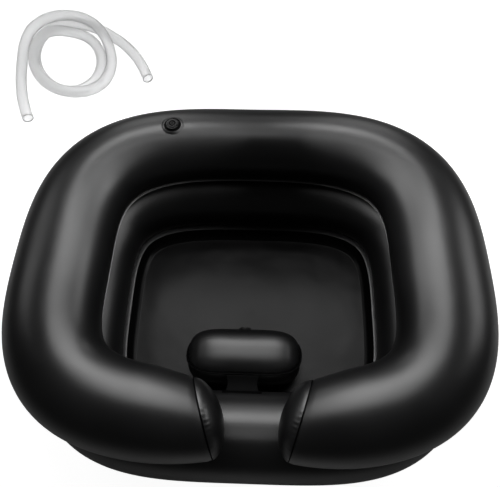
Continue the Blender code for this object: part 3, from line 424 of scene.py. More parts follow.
def end_share(point):
    """How far the tube is drawn in beside the neck: 1 at the end seam, 0 past the taper."""
    if point.y > UPPER_MIDDLE_Y:
        return 0.0
    away = LEFT_END_X - point.x if point.x < NECK_MIDDLE_X else point.x - RIGHT_END_X
    return max(0.0, 1 - max(away, 0.0) / END_TAPER_LENGTH) ** 2


def wall_offset(radius, squash_share, axis_z, height):
    """How far a tube's wall is from its axis, seen from above, at a height."""
    rise = (height - axis_z) / (radius * squash_share)
    return radius * math.sqrt(max(0.0, 1 - rise * rise))


def lower_wall(height):
    return wall_offset(LOWER_RADIUS, LOWER_SQUASH, LOWER_AXIS_Z, height)


def end_face(way):
    """The way that an end panel faces: 1 at the left end, -1 at the right."""
    return Vector((way * math.cos(END_TILT), math.sin(END_TILT), 0.0))


def loft(work, rings, closed_along, capped):
    """Faces through rings of points, added to a mesh in the making; its rows of vertices."""
    rows = [[work.verts.new(p) for p in ring] for ring in rings]
    for i in range(len(rows) if closed_along else len(rows) - 1):
        a, b = rows[i], rows[(i + 1) % len(rows)]
        for j in range(len(a)):
            k = (j + 1) % len(a)
            work.faces.new((a[j], a[k], b[k], b[j]))
    if capped:
        work.faces.new(rows[0])
        work.faces.new(rows[-1])
    return rows


def linked(name, data):
    """A new object in the scene."""
    made = bpy.data.objects.new(name, data)
    bpy.context.scene.collection.objects.link(made)
    return made


def finish_piece(name, work, sharp=None):
    bmesh.ops.recalc_face_normals(work, faces=work.faces)
    data = bpy.data.meshes.new(name)
    work.to_mesh(data)
    work.free()
    data.shade_smooth()
    if sharp:
        data.set_sharp_from_angle(angle=math.radians(sharp))
    return linked(name, data)


def piece(name, rings, closed_along, capped=False, sharp=None):
    """A mesh object lofted through rings of points."""
    work = bmesh.new()
    loft(work, rings, closed_along, capped)
    return finish_piece(name, work, sharp)


def frame_at(place, outward, across=(1.0, 0.0, 0.0)):
    """A matrix whose Z is outward and whose X is as near across as can be."""
    z = Vector(outward).normalized()
    x = Vector(across)
    x = (x - z * x.dot(z)).normalized()
    turn = Matrix((x, z.cross(x), z)).transposed().to_4x4()
    return Matrix.Translation(Vector(place)) @ turn


def rounded(profile, reach, closed=True):
    """A profile of (radius, height) points with its corners rounded off."""
    spots = [Vector(p) for p in profile]
    found = []
    for i, corner in enumerate(spots):
        if not closed and i in (0, len(spots) - 1):
            found.append(corner)
            continue
        before = spots[i - 1] - corner
        after = spots[(i + 1) % len(spots)] - corner
        a = corner + before.normalized() * min(reach, before.length * ROUNDING_LIMIT_SHARE)
        b = corner + after.normalized() * min(reach, after.length * ROUNDING_LIMIT_SHARE)
        for k in range(ROUNDING_STEPS + 1):
            s = k / ROUNDING_STEPS
            found.append(a * (1 - s) ** 2 + corner * (2 * s * (1 - s)) + b * s ** 2)
    return found


def rounded_box(left, low, right, high, reach):
    return rounded([(left, low), (right, low), (right, high), (left, high)], reach)


def turned_rings(profile, place, steps=TURNED_SIDES):
    turns = [math.tau * j / steps for j in range(steps)]
    return [
        [place @ Vector((r * math.cos(turn), r * math.sin(turn), height)) for turn in turns]
        for r, height in profile
    ]


def block_rings(low, high, place, reach):
    """A block with rounded long edges, from low x to high x."""
    outline = rounded_box(low[1], low[2], high[1], high[2], reach)
    return [[place @ Vector((x, y, z)) for y, z in outline] for x in (low[0], high[0])]


def bored(made, cutters):
    """Cuts plain cylinders out of the piece: (frame, radius, low, high) each."""
    for place, radius, low, high in cutters:
        line = [(radius, low), (radius, high)]
        cutter = piece("cutter", turned_rings(line, place, CUTTER_SIDES), False, True)
        change = made.modifiers.new("cut", "BOOLEAN")
        change.operation = "DIFFERENCE"
        change.solver = "EXACT"
        change.object = cutter
        depsgraph = bpy.context.evaluated_depsgraph_get()
        depsgraph.update()
        data = bpy.data.meshes.new_from_object(made.evaluated_get(depsgraph))
        made.modifiers.clear()
        made.data = data
        bpy.data.objects.remove(cutter)
    made.data.shade_smooth()
    made.data.set_sharp_from_angle(angle=math.radians(CUT_SHARP_ANGLE))


def section(place, side, radius, squash_share, count, low, high=math.inf):
    """One ring of a flattened tube round a point of its axis, kept between two heights."""
    found = []
    for j in range(count):
        angle = math.tau * j / count
        spot = place + side * (radius * math.cos(angle))
        spot.z = min(max(place.z + radius * squash_share * math.sin(angle), low), high)
        found.append(spot)
    return found


def swell(place, scale, depth):
    """A slow unevenness of a blown-up skin."""
    return depth * noise.noise(place * scale)


# Materials


def node(tree, kind, **values):
    made = tree.nodes.new(kind)
    for key, value in values.items():
        setattr(made, key, value)
    return made


def put(made, values):
    """Constant values on a node's own sockets."""
    for key, value in values.items():
        made.inputs[key].default_value = value


def blank(name):
    """A new material: itself, its node tree, its shader and the object's own coordinates."""
    made = bpy.data.materials.new(name)
    made.use_nodes = True
    tree = made.node_tree
    where = node(tree, "ShaderNodeTexCoord").outputs["Object"]
    return made, tree, tree.nodes["Principled BSDF"], where


def clouds(tree, where, scale, detail):
    made = node(tree, "ShaderNodeTexNoise")
    put(made, {"Scale": scale, "Detail": detail})
    tree.links.new(where, made.inputs["Vector"])
    return made.outputs["Fac"]


def uneven_gloss(tree, shader, value, seen, rough):
    """A roughness that goes from rough[0] to rough[1] as the value goes through seen."""
    made = node(tree, "ShaderNodeMapRange")
    put(made, {"From Min": seen[0], "From Max": seen[1], "To Min": rough[0], "To Max": rough[1]})
    tree.links.new(value, made.inputs["Value"])
    tree.links.new(made.outputs["Result"], shader.inputs["Roughness"])


def bump(tree, height, strength, depth):
    made = node(tree, "ShaderNodeBump")
    put(made, {"Strength": strength, "Distance": depth})
    tree.links.new(height, made.inputs["Height"])
    return made


def vinyl(name, colour, roughness, grain=0.10, wave=0.25, gleam=0.5):
    """Soft black PVC: a fine grain, slow waves in the sheet and an uneven gloss."""
    made, tree, shader, where = blank(name)
    put(shader, {"IOR": VINYL_IOR, "Specular IOR Level": gleam})
    patches = clouds(tree, where, PATCH_SCALE, PATCH_DETAIL)
    tint = node(tree, "ShaderNodeValToRGB")
    for i, (position, share) in enumerate(zip(PATCH_RANGE, PATCH_TINTS)):
        tint.color_ramp.elements[i].position = position
        tint.color_ramp.elements[i].color = [c * share for c in colour] + [1.0]
    tree.links.new(patches, tint.inputs["Fac"])
    tree.links.new(tint.outputs["Color"], shader.inputs["Base Color"])
    rough = (roughness - PATCH_GLOSS_SPREAD / 2, roughness + PATCH_GLOSS_SPREAD / 2)
    uneven_gloss(tree, shader, patches, PATCH_RANGE, rough)
    pores = clouds(tree, where, GRAIN_SCALE, GRAIN_DETAIL)
    waves = clouds(tree, where, SHEET_WAVE_SCALE, SHEET_WAVE_DETAIL)
    fine = bump(tree, pores, grain, GRAIN_DEPTH)
    broad = bump(tree, waves, wave, SHEET_WAVE_DEPTH)
    tree.links.new(fine.outputs["Normal"], broad.inputs["Normal"])
    tree.links.new(broad.outputs["Normal"], shader.inputs["Normal"])
    return made


SKIN = vinyl("black_vinyl", (0.0045, 0.0045, 0.0047), 0.35)
# A darker, less glossy copy of the black vinyl for the bowl's floor: painted shade, as the floor is
# the same sheet as the tubes
SHADED_FLOOR_VINYL = vinyl("black_vinyl_floor_painted_shade", (0.0012, 0.0012, 0.0013), 0.30, wave=0.5, gleam=0.13)
# Grey for the floor weld's rim: a painted glint along its edge, not a lighter sheet
GLINT_PAINTED_FLOOR_WELD = vinyl("black_weld_painted_glint", (0.060, 0.060, 0.061), 0.36, grain=0.3)
# Lighter grey for the upper weld's rim: a painted glint along its rounded edge, not a lighter sheet
GLINT_PAINTED_WELD_RIM = vinyl("black_weld_rim_painted_glint", (0.200, 0.200, 0.203), 0.30, grain=0.2)
# A dull, darker black for the welds' own dark lines; on the pillow's tab and its pad it is painted
# shade under the pillow
DULL_WELD_AND_PAINTED_SHADE = vinyl("dull_black_weld_and_painted_shade", (0.0015, 0.0015, 0.0016), 0.50, grain=0.3, gleam=0.02)
MOULDED = vinyl("black_moulding", (0.006, 0.006, 0.0063), 0.40, grain=0.05, wave=0.0, gleam=0.25)
# Darker, rougher black for the valves' grooves and the stoppers' dishes: painted shade in those
# recesses
RECESS_PAINTED_SHADE = vinyl("black_groove_painted_shade", (0.003, 0.003, 0.003), 0.70, grain=0.05, wave=0.0, gleam=0.05)


def clear_tube(name):
    """Milky clear PVC tube."""
    made, tree, shader, where = blank(name)
    put(shader, {"Base Color": CLEAR_COLOUR, "IOR": CLEAR_IOR})
    put(shader, {"Transmission Weight": CLEAR_TRANSMISSION})
    patches = clouds(tree, where, CLEAR_SCALE, CLEAR_DETAIL)
    uneven_gloss(tree, shader, patches, (0.0, 1.0), CLEAR_ROUGHNESS)
    return made


CLEAR = clear_tube("clear_tube")


def dress(made, material, body="basin", replaced=()):
    """Gives the piece its material and its slot, and says what it rides on and replaces."""
    made.data.materials.clear()
    made.data.materials.append(material)
    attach(made, body)
    if replaced:
        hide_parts(*replaced)


# Hose route, in shares of its diameter off the coil's middle, as in the solids
HOSE_DIAMETER = 0.0200
HOSE_WALL = 0.0016
HOSE_LAYER_GAP = 0.0006
HOSE_COIL_X = -0.371
HOSE_COIL_Y = 0.498
HOSE_OVAL_SHARE = 1.22
HOSE_LEAN_SHARE = -0.17
HOSE_TURNS = 2
HOSE_TURN_POINTS = 24
HOSE_CURVE_STEPS = 8
HOSE_SIDES = 40
HOSE_INNER_SHARE = 3.10
HOSE_OUTER_SHARE = 4.16
HOSE_WIND_IN_SHARE = 0.40
HOSE_WIND_OUT_FROM_SHARE = 1.10
HOSE_WIND_OUT_SHARE = 0.65
HOSE_CLIMB_FROM_SHARE = 0.96
HOSE_CLIMB_SHARE = 0.20
HOSE_DIP_SHARE = 0.70
HOSE_DIP_FROM_SHARE = 1.46
HOSE_DIP_LENGTH_SHARE = 0.24
HOSE_RISE_FROM_SHARE = 1.72
HOSE_RISE_LENGTH_SHARE = 0.17
HOSE_RIGHT_TAIL_SHARES = (
    (7.55, -1.73, 0.0), (7.18, -0.69, 0.0), (6.62, 0.40, 0.0), (5.79, 1.46, 0.0),
    (4.72, 2.40, 0.0), (3.50, 3.20, 0.0), (2.20, 3.78, 0.0), (1.05, 4.08, 0.0),
)
HOSE_LEFT_TAIL_SHARES = (
    (-1.20, 4.06, 1.0), (-2.45, 3.60, 0.97), (-3.66, 2.62, 0.86),
    (-4.42, 1.35, 0.48), (-4.72, -0.10, 0.12), (-4.79, -1.68, 0.0),
    (-4.62, -3.40, 0.0), (-4.30, -4.70, 0.0), (-3.92, -5.81, 0.0),
)


def hose_point(across_share, back_share, lift_share):
    y = HOSE_DIAMETER * back_share * HOSE_OVAL_SHARE
    x = HOSE_DIAMETER * across_share + y * HOSE_LEAN_SHARE
    lift = (HOSE_DIAMETER + HOSE_LAYER_GAP) * lift_share
    return Vector((HOSE_COIL_X + x, HOSE_COIL_Y + y, HOSE_DIAMETER / 2 + GAP + lift))


def hose_turn(turn):
    wide_share = 1 - smooth(turn / HOSE_WIND_IN_SHARE)
    wide_share += smooth((turn - HOSE_WIND_OUT_FROM_SHARE) / HOSE_WIND_OUT_SHARE)
    reach = HOSE_INNER_SHARE + (HOSE_OUTER_SHARE - HOSE_INNER_SHARE) * wide_share
    lift = smooth((turn - HOSE_CLIMB_FROM_SHARE) / HOSE_CLIMB_SHARE)
    lift -= HOSE_DIP_SHARE * smooth((turn - HOSE_DIP_FROM_SHARE) / HOSE_DIP_LENGTH_SHARE)
    lift += HOSE_DIP_SHARE * smooth((turn - HOSE_RISE_FROM_SHARE) / HOSE_RISE_LENGTH_SHARE)
    angle = math.pi / 2 + math.tau * turn
    return hose_point(reach * math.cos(angle), reach * math.sin(angle), lift)


def curve_through(points, steps):
    """A smooth line through the points, with a number of steps between each two."""
    padded = [2 * points[0] - points[1]] + points + [2 * points[-1] - points[-2]]
    found = []
    for a, b, c, d in zip(padded, padded[1:], padded[2:], padded[3:]):
        bend = 2 * a - 5 * b + 4 * c - d
        twist = 3 * b - a - 3 * c + d
        for i in range(steps):
            s = i / steps
            found.append((2 * b + (c - a) * s + bend * s ** 2 + twist * s ** 3) / 2)
    found.append(points[-1])
    return found


def tube_rings(line, radius, sides):
    """Rings round a line in space, carried along it without twist."""
    found = []
    side = Vector((0.0, 0.0, 1.0))
    for i, p in enumerate(line):
        along = (line[min(i + 1, len(line) - 1)] - line[max(i - 1, 0)]).normalized()
        side = (side - along * side.dot(along)).normalized()
        other = along.cross(side)
        turns = [math.tau * j / sides for j in range(sides)]
        found.append([p + (side * math.cos(t) + other * math.sin(t)) * radius for t in turns])
    return found


def hose():
    route = [hose_point(u, v, w) for u, v, w in HOSE_RIGHT_TAIL_SHARES]
    count = HOSE_TURNS * HOSE_TURN_POINTS
    route += [hose_turn(HOSE_TURNS * i / count) for i in range(count + 1)]
    route += [hose_point(u, v, w) for u, v, w in HOSE_LEFT_TAIL_SHARES]
    line = curve_through(route, HOSE_CURVE_STEPS)
    outside = tube_rings(line, HOSE_DIAMETER / 2, HOSE_SIDES)
    inside = tube_rings(line, HOSE_DIAMETER / 2 - HOSE_WALL, HOSE_SIDES)
    made = piece("drain_hose", outside + inside[::-1], True)
    dress(made, CLEAR, "basin", ("hose_coil", "hose_tail_left", "hose_tail_right"))


def lower_skin():
    points = lower_path(LOWER_RINGS)
    rings = []
    for p, n in zip(points, inward(points, True)):
        place = Vector((p.x, p.y, LOWER_AXIS_Z))
        ring = section(place, -n, LOWER_RADIUS, LOWER_SQUASH, LOWER_SIDES, 0.0, LOWER_TOP_Z)
        rings.append(ring)
    made = piece("lower_chamber", rings, True)
    inside, outside, length = drain_frames()
    duct, flange = DRAIN_DUCT_RADIUS + GAP, DRAIN_FLANGE_RADIUS + GAP
    drain_cutters = (
        (outside, duct, -length - DRAIN_CUT_OVERRUN, DRAIN_CUT_OVERRUN),
        (outside, flange, 0.0, DRAIN_FLANGE_CUT),
        (inside, flange, 0.0, DRAIN_FLANGE_CUT),
    )
    bored(made, drain_cutters + valve_cutters(lower_valve_frame(), VALVE_SEAT_RADIUS))
    dress(made, SKIN, "basin", ("lower_ring",))


def upper_rings():
    points = spaced(upper_path(0.0), UPPER_RINGS, False)
    sides = inward(points, False)
    total = sum((b - a).length for a, b in zip(points, points[1:]))
    rings, run = [], 0.0
    for i, (p, n) in enumerate(zip(points, sides)):
        if i:
            run += (p - points[i - 1]).length
        left = run < total / 2
        away = run if left else total - run
        full = upper_radius(p)
        radius = full * (1 - END_TAPER_SHARE * end_share(p))
        pinch = END_PINCH_DEPTH * max(0.0, 1 - away / END_PINCH_LENGTH) ** 2
        place = Vector((p.x, p.y, UPPER_AXIS_Z - (full - radius) * UPPER_SQUASH))
        ring = section(place, n, radius - pinch, UPPER_SQUASH, UPPER_SIDES, UPPER_BASE_Z)
        skew = max(0.0, 1 - away / END_SKEW_LENGTH)
        if skew > 0:
            way = 1 if left else -1
            face = end_face(way)
            along = Vector((way * abs(n.y), -way * n.x if n.y > 0 else way * n.x, 0.0))
            slope = along.dot(face)
            ring = [q - along * ((q - place).dot(face) / slope) * skew for q in ring]
        rings.append(ring)
    return rings


def cap_pucker(angle):
    """The gathers along an end panel's weld, which come and go round it."""
    gather = math.sin(PUCKER_COUNT * angle + 2.2 * math.sin(3 * angle))
    return gather * (0.55 + 0.45 * math.sin(7 * angle + 1.0) * math.sin(11 * angle))


def cap(name, node_name, rim, way):
    """An end panel, bulged by the air, with puckers where it is welded to the tube."""
    rim = spaced(rim, CAP_SIDES, True)
    middle = sum(rim, Vector()) / len(rim)
    face = end_face(way)
    rings = []
    for i in range(CAP_RINGS):
        share = math.cos(math.pi / 2 * i / CAP_RINGS)
        height = END_BULGE * (1 - share * share) ** CAP_POWER + CAP_RIM
        near_rim = math.exp(-((i / (CAP_RINGS * PUCKER_REACH_SHARE)) ** 2))
        near_rim *= smooth(i / PUCKER_START_RINGS)
        ring = []
        for j, q in enumerate(rim):
            front = smooth((middle.y + PUCKER_FRONT_REACH - q.y) / PUCKER_FRONT_RUN)
            front = PUCKER_BACK_SHARE + (1 - PUCKER_BACK_SHARE) * front
            pucker = PUCKER_DEPTH * cap_pucker(math.tau * j / len(rim)) * near_rim * front
            spot = middle + (q - middle) * share + face * (height + pucker)
            spot.z = max(spot.z, UPPER_BASE_Z)
            ring.append(spot)
        rings.append(ring)
    work = bmesh.new()
    loft(work, rings, False, False)
    bmesh.ops.holes_fill(work, edges=[e for e in work.edges if e.is_boundary], sides=0)
    dress(finish_piece(name, work), SKIN, "basin", (node_name,))


def lip(name, rim, way):
    """The weld's narrow lip between the tube and an end panel."""
    middle = sum(rim, Vector()) / len(rim)
    face = end_face(way)
    sizes = (
        (-LIP_ROOT, -LIP_HALF),
        (LIP_REACH * LIP_ROUND_SHARE, -LIP_HALF),
        (LIP_REACH, 0.0),
        (LIP_REACH * LIP_ROUND_SHARE, LIP_HALF),
        (-LIP_ROOT, LIP_HALF),
    )
    rings = []
    for reach, rise in sizes:
        ring = []
        for q in rim:
            out = (q - middle).normalized()
            spot = q + out * reach + face * (CAP_RIM / 2 + rise)
            spot.z = max(spot.z, UPPER_BASE_Z)
            ring.append(spot)
        rings.append(ring)
    dress(piece(name, rings, True), DULL_WELD_AND_PAINTED_SHADE)


def upper_skin():
    rings = upper_rings()
    made = piece("upper_chamber", rings, False, capped=True)
    bored(made, valve_cutters(upper_valve_frame(), VALVE_SEAT_RADIUS))
    dress(made, SKIN, "basin", ("upper_ring",))
    cap("end_panel_left", "end_cap_left", rings[0], 1)
    cap("end_panel_right", "end_cap_right", rings[-1], -1)
    lip("end_weld_left", rings[0], 1)
    lip("end_weld_right", rings[-1], -1)


# Welded edges and the floor


def lip_band(name, root, edge, low, high, closed, ripple, rim, replaced):
    """A thin welded edge with a rounded rim, between two lines, with a slight ripple; its rim is
    painted lighter as a glint.
    """
    half = (high - low) / 2
    ease = half * SEAM_ROUND_SHARE
    rings = []
    for a, b in zip(root, edge):
        rise = swell(b, RIPPLE_SCALE, ripple)
        rise += swell(b, FINE_RIPPLE_SCALE, ripple * FINE_RIPPLE_SHARE)
        out = (b - a).normalized()
        spots = (
            (a, low),
            (b - out * half, low + rise),
            (b - out * ease, low + rise + ease),
            (b, low + rise + half),
            (b - out * ease, high + rise - ease),
            (b - out * half, high + rise),
            (a, high),
        )
        rings.append([Vector((p.x, p.y, z)) for p, z in spots])
    made = piece(name, rings, closed, capped=not closed)
    dress(made, SKIN, "basin", replaced)
    # The rim's faces take the lighter rim material: a painted glint along the weld's edge
    made.data.materials.append(rim)
    sides = len(rings[0])
    for face in made.data.polygons:
        if all(v % sides for v in face.vertices):
            face.material_index = 1


def upper_seam():
    points = spaced(upper_path(-END_TAPER_LENGTH), SEAM_POINTS, False)
    low, high = UPPER_SEAM_HEIGHT, UPPER_SEAM_HEIGHT + SHEET
    walls = [wall_offset(upper_radius(p), UPPER_SQUASH, UPPER_AXIS_Z, high) for p in points]
    root = offset_line(points, [w - GAP for w in walls], False)
    edge = offset_line(points, [w + UPPER_SEAM_REACH for w in walls], False)
    sizes = (low, high, False, UPPER_SEAM_RIPPLE)
    # The upper weld's rim takes the lighter grey, a painted glint
    lip_band("upper_weld", root, edge, *sizes, GLINT_PAINTED_WELD_RIM, ("upper_seam",))


def lower_inner_line(offset, count):
    return offset_line(lower_path(count), [-offset] * count, True)


def floor_seam():
    low, high = FLOOR_SEAM_HEIGHT, FLOOR_SEAM_HEIGHT + SHEET
    wall = lower_wall(high)
    root = lower_inner_line(wall - GAP, SEAM_POINTS)
    edge = lower_inner_line(wall + FLOOR_SEAM_REACH, SEAM_POINTS)
    sizes = (low, high, True, FLOOR_SEAM_RIPPLE)
    # The floor weld's rim takes the grey, a painted glint
    lip_band("floor_weld", root, edge, *sizes, GLINT_PAINTED_FLOOR_WELD, ("floor_seam",))


def floor_sheet():
    """The welded floor: a shallow tray on the ground, with slow waves in its sheet."""
    edge = lower_wall(FLOOR_SEAM_HEIGHT + SHEET) + FLOOR_SEAM_REACH
    rim = FLOOR_SEAM_HEIGHT - GAP
    stops = [
        Vector((edge - FLOOR_RIM_INSET, rim, 0.0)),
        Vector((edge + FLOOR_SLOPE_REACH, rim / 3 + SHEET, 0.0)),
        Vector((edge + FLOOR_FOOT_REACH, SHEET + FLOOR_TOE_RISE, 0.0)),
    ]
    rings = []
    for stop in curve_through(stops, FLOOR_SLOPE_STEPS):
        line = lower_inner_line(stop.x, FLOOR_POINTS)
        rings.append([Vector((p.x, p.y, stop.y)) for p in line])
    middle = Vector((0.0, LOWER_MIDDLE_Y, SHEET))
    foot = rings[-1]
    for i in range(1, FLOOR_RINGS):
        share = 1 - (i / FLOOR_RINGS) ** FLOOR_RING_POWER
        ring = []
        for p in foot:
            spot = middle.lerp(p, share)
            ease = smooth((1 - share) * FLOOR_EASE_RATE)
            toe = FLOOR_TOE_RISE * math.exp(-(p - spot).length / FLOOR_TOE_LENGTH)
            wave = swell(spot, FLOOR_WAVE_SCALE, 1.0)
            wave += swell(spot, FLOOR_RIPPLE_SCALE, FLOOR_RIPPLE_SHARE)
            spot.z = SHEET + toe + FLOOR_WAVE * ease * (0.5 + 0.5 * wave)
            ring.append(spot)
        rings.append(ring)
    work = bmesh.new()
    last = loft(work, rings, False, False)[-1]
    hub = work.verts.new(middle)
    for a, b in zip(last, last[1:] + last[:1]):
        work.faces.new((a, b, hub))
    made = finish_piece("floor_tray", work)
    if made.data.polygons[-1].normal.z < 0:
        made.data.flip_normals()
    shell = made.modifiers.new("sheet", "SOLIDIFY")
    shell.thickness = SHEET * FLOOR_THICKNESS_SHARE
    shell.offset = -1.0
    # The floor takes the darker, duller copy of the vinyl: painted shade
    dress(made, SHADED_FLOOR_VINYL, "basin", ("floor_sheet",))


# Headrest pillow, from the same formula as its solid


def pillow_reach(way, start=Vector()):
    """How far the pillow's skin is from a point inside it, before the waist, by bisection."""
    halves = (PILLOW_WIDTH / 2, PILLOW_DEPTH / 2, PILLOW_HEIGHT / 2)
    powers = (PILLOW_WIDTH_POWER, PILLOW_DEPTH_POWER, PILLOW_DEPTH_POWER)
    low, high = 0.0, PILLOW_WIDTH
    for _ in range(PILLOW_SEARCH_STEPS):
        middle = (low + high) / 2
        spot = start + way * middle
        if sum((abs(s) / h) ** n for s, h, n in zip(spot, halves, powers)) < 1:
            low = middle
        else:
            high = middle
    return low


def pillow_waist(point):
    """The point of the skin drawn in at the middle of each long side."""
    across = point.x / (PILLOW_WIDTH / 2)
    along = point.y / (PILLOW_DEPTH / 2)
    x = point.x * (1 - PILLOW_WAIST_SHARE / 2 * (1 - along * along))
    y = point.y * (1 - PILLOW_WAIST_SHARE * (1 - across * across))
    return Vector((x, y, point.z))


def pillow_pucker(angle):
    """The gathers along the pillow's weld, from -1 to 1."""
    return math.sin(PILLOW_PUCKERS * angle + 1.7 * math.sin(2 * angle) + 0.9 * math.sin(5 * angle))


def pillow_outline(count):
    """The weld's line round the pillow, with the way out of it at each point."""
    up, back = PILLOW_SEAM_UP, PILLOW_SEAM_BACK
    start = Vector((0.0, 0.0, PILLOW_SEAM_LIFT))
    spots = []
    for i in range(count):
        angle = math.tau * i / count
        way = Vector((math.cos(angle) * PILLOW_WIDTH, 0.0, 0.0))
        way = (way + back * (math.sin(angle) * PILLOW_DEPTH)).normalized()
        spots.append(PILLOW_MIDDLE + pillow_waist(start + way * pillow_reach(way, start)))
    outs = [(spots[(i + 1) % count] - spots[i - 1]).cross(up).normalized() for i in range(count)]
    return spots, outs


def pillow():
    work = bmesh.new()
    bmesh.ops.create_cube(work, size=2.0)
    bmesh.ops.subdivide_edges(work, edges=work.edges, cuts=PILLOW_CUTS, use_grid_fill=True)
    halves = Vector((PILLOW_WIDTH, PILLOW_DEPTH, PILLOW_HEIGHT)) / 2
    up, back = PILLOW_SEAM_UP, PILLOW_SEAM_BACK
    for vert in work.verts:
        even = Vector([math.tan(value * math.pi / 4) for value in vert.co])
        way = Vector([value * half for value, half in zip(even, halves)]).normalized()
        spot = pillow_waist(way * pillow_reach(way))
        off = spot - Vector((0.0, 0.0, PILLOW_SEAM_LIFT))
        from_weld = off.dot(up)
        angle = math.atan2(off.dot(back) / PILLOW_DEPTH, off.x / PILLOW_WIDTH)
        pinch = math.exp(-((from_weld / PILLOW_PINCH_WIDTH) ** 2))
        gather = pillow_pucker(angle) * math.exp(-((from_weld / PILLOW_GATHER_WIDTH) ** 2))
        near = math.exp(-((from_weld / PILLOW_PUCKER_WIDTH) ** 2))
        depth = PILLOW_PINCH_DEPTH * pinch + PILLOW_PUCKER_DEPTH * (0.5 + 0.5 * gather) * near
        spot -= spot.normalized() * depth
        vert.co = PILLOW_MIDDLE + spot
    made = finish_piece("headrest_pillow", work)
    bored(made, valve_cutters(pillow_valve_frame(), PILLOW_SEAT_RADIUS))
    dress(made, SKIN, "headrest", ("pillow",))


def pillow_weld():
    spots, outs = pillow_outline(PILLOW_LIP_POINTS)
    up = PILLOW_SEAM_UP
    half = SHEET * PILLOW_LIP_HALF_SHARE
    rings = []
    for i, (p, out) in enumerate(zip(spots, outs)):
        rise = up * (PILLOW_LIP_WAVE * pillow_pucker(math.tau * i / len(spots)))
        root = p - out * PILLOW_LIP_ROOT
        edge = root + out * (PILLOW_LIP_REACH + PILLOW_LIP_ROOT) + rise
        below = edge - up * half - out * half
        above = edge + up * half - out * half
        rings.append([root - up * half, below, edge, above, root + up * half])
    dress(piece("pillow_weld", rings, True), DULL_WELD_AND_PAINTED_SHADE, "headrest", ("pillow_seam",))


def pillow_tab():
    """The tab between the pillow's weld and the lower chamber, and the pad it is welded on with."""
    low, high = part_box("pillow_tab")
    middle_x = (low[0] + high[0]) / 2
    middle_z = (low[2] + high[2]) / 2
    half_x = (high[0] - low[0]) / 2
    thick = SHEET * TAB_HALF_SHARE
    rings = []
    for i in range(TAB_STEPS + 1):
        share = i / TAB_STEPS
        bow = math.sin(math.pi * share)
        y = low[1] - TAB_FRONT_OVERLAP + (high[1] - low[1] + TAB_OVERLAPS) * share
        z = middle_z - TAB_SAG * bow
        wide = half_x * (1 - TAB_WAIST_SHARE * bow)
        outline = rounded_box(-wide, -thick, wide, thick, thick)
        rings.append([Vector((middle_x + x, y, z + dz)) for x, dz in outline])
    work = bmesh.new()
    loft(work, rings, False, True)
    front_y = LOWER_MIDDLE_Y - LOWER_HALF_Y
    wide = half_x + PAD_MARGIN
    rings = []
    for i in range(PAD_STEPS + 1):
        z = middle_z + (i / PAD_STEPS - 0.5) * PAD_HEIGHT
        y = front_y + lower_wall(z)
        from_end = min(i, PAD_STEPS - i)
        thick = PAD_THICKNESS * smooth(from_end * PAD_EDGE_RATE + PAD_EDGE_SHARE)
        outline = rounded_box(-wide, -PAD_SINK, wide, thick, PAD_ROUNDING)
        rings.append([Vector((middle_x + x, y + dy, z)) for x, dy in outline])
    loft(work, rings, False, True)
    made = finish_piece("pillow_tab_strip", work)
    # The tab and pad take the dull darker black as painted shade under the pillow
    dress(made, DULL_WELD_AND_PAINTED_SHADE, "basin", ("pillow_tab",))


# Valves and drain


def upper_valve_frame():
    back = [p for p in upper_dense() if p.y > UPPER_MIDDLE_Y]
    near = min(back, key=lambda p: abs(p.x - UPPER_VALVE_X))
    height = UPPER_AXIS_Z + upper_radius(near) * UPPER_SQUASH
    return frame_at((near.x, near.y, height), (0.0, 0.0, 1.0))


def lower_valve_frame():
    place = (0.0, LOWER_MIDDLE_Y + LOWER_HALF_Y + LOWER_RADIUS, LOWER_AXIS_Z)
    return frame_at(place, (0.0, 1.0, 0.0), (0.0, 0.0, 1.0))


def pillow_valve_frame():
    """The frame of the pillow's valve, at right angles to the skin between two near points."""
    spots = []
    for step in (0.0, PILLOW_VALVE_ANGLE_STEP, -PILLOW_VALVE_ANGLE_STEP):
        angle = math.radians(PILLOW_VALVE_ANGLE + step)
        way = Vector((0.0, math.cos(angle), math.sin(angle)))
        spots.append(PILLOW_MIDDLE + pillow_waist(way * pillow_reach(way)))
    down = (spots[2] - spots[1]).normalized()
    outward = Vector((0.0, -down.z, down.y))
    return frame_at(spots[0] - outward * PILLOW_VALVE_SINK, outward)


def valve_cutters(place, seat_radius):
    """The valve's seat and the well under it, as cylinders to cut out of a skin."""
    seat, low = seat_radius + GAP, -VALVE_SEAT_LOW
    return (place, seat, low, seat), (place, VALVE_WELL_RADIUS, low - VALVE_WELL_DEPTH, seat)


def drain_frames():
    """The frames of the drain's two ends, inside and outside, and the way between them."""
    right = [p for p in lower_path(DENSE_POINTS // 2) if p.x > 0]
    axis_x = min(right, key=lambda p: abs(p.y - DRAIN_Y)).x
    wall = lower_wall(DRAIN_HEIGHT)
    inner_x = axis_x - wall + DRAIN_SEAT_DEPTH
    outer_x = axis_x + wall - DRAIN_SEAT_DEPTH
    inside = frame_at((inner_x, DRAIN_Y, DRAIN_HEIGHT), (-1.0, 0.0, 0.0), (0.0, 1.0, 0.0))
    outside = frame_at((outer_x, DRAIN_Y, DRAIN_HEIGHT), (1.0, 0.0, 0.0), (0.0, 0.0, 1.0))
    return inside, outside, outer_x - inner_x


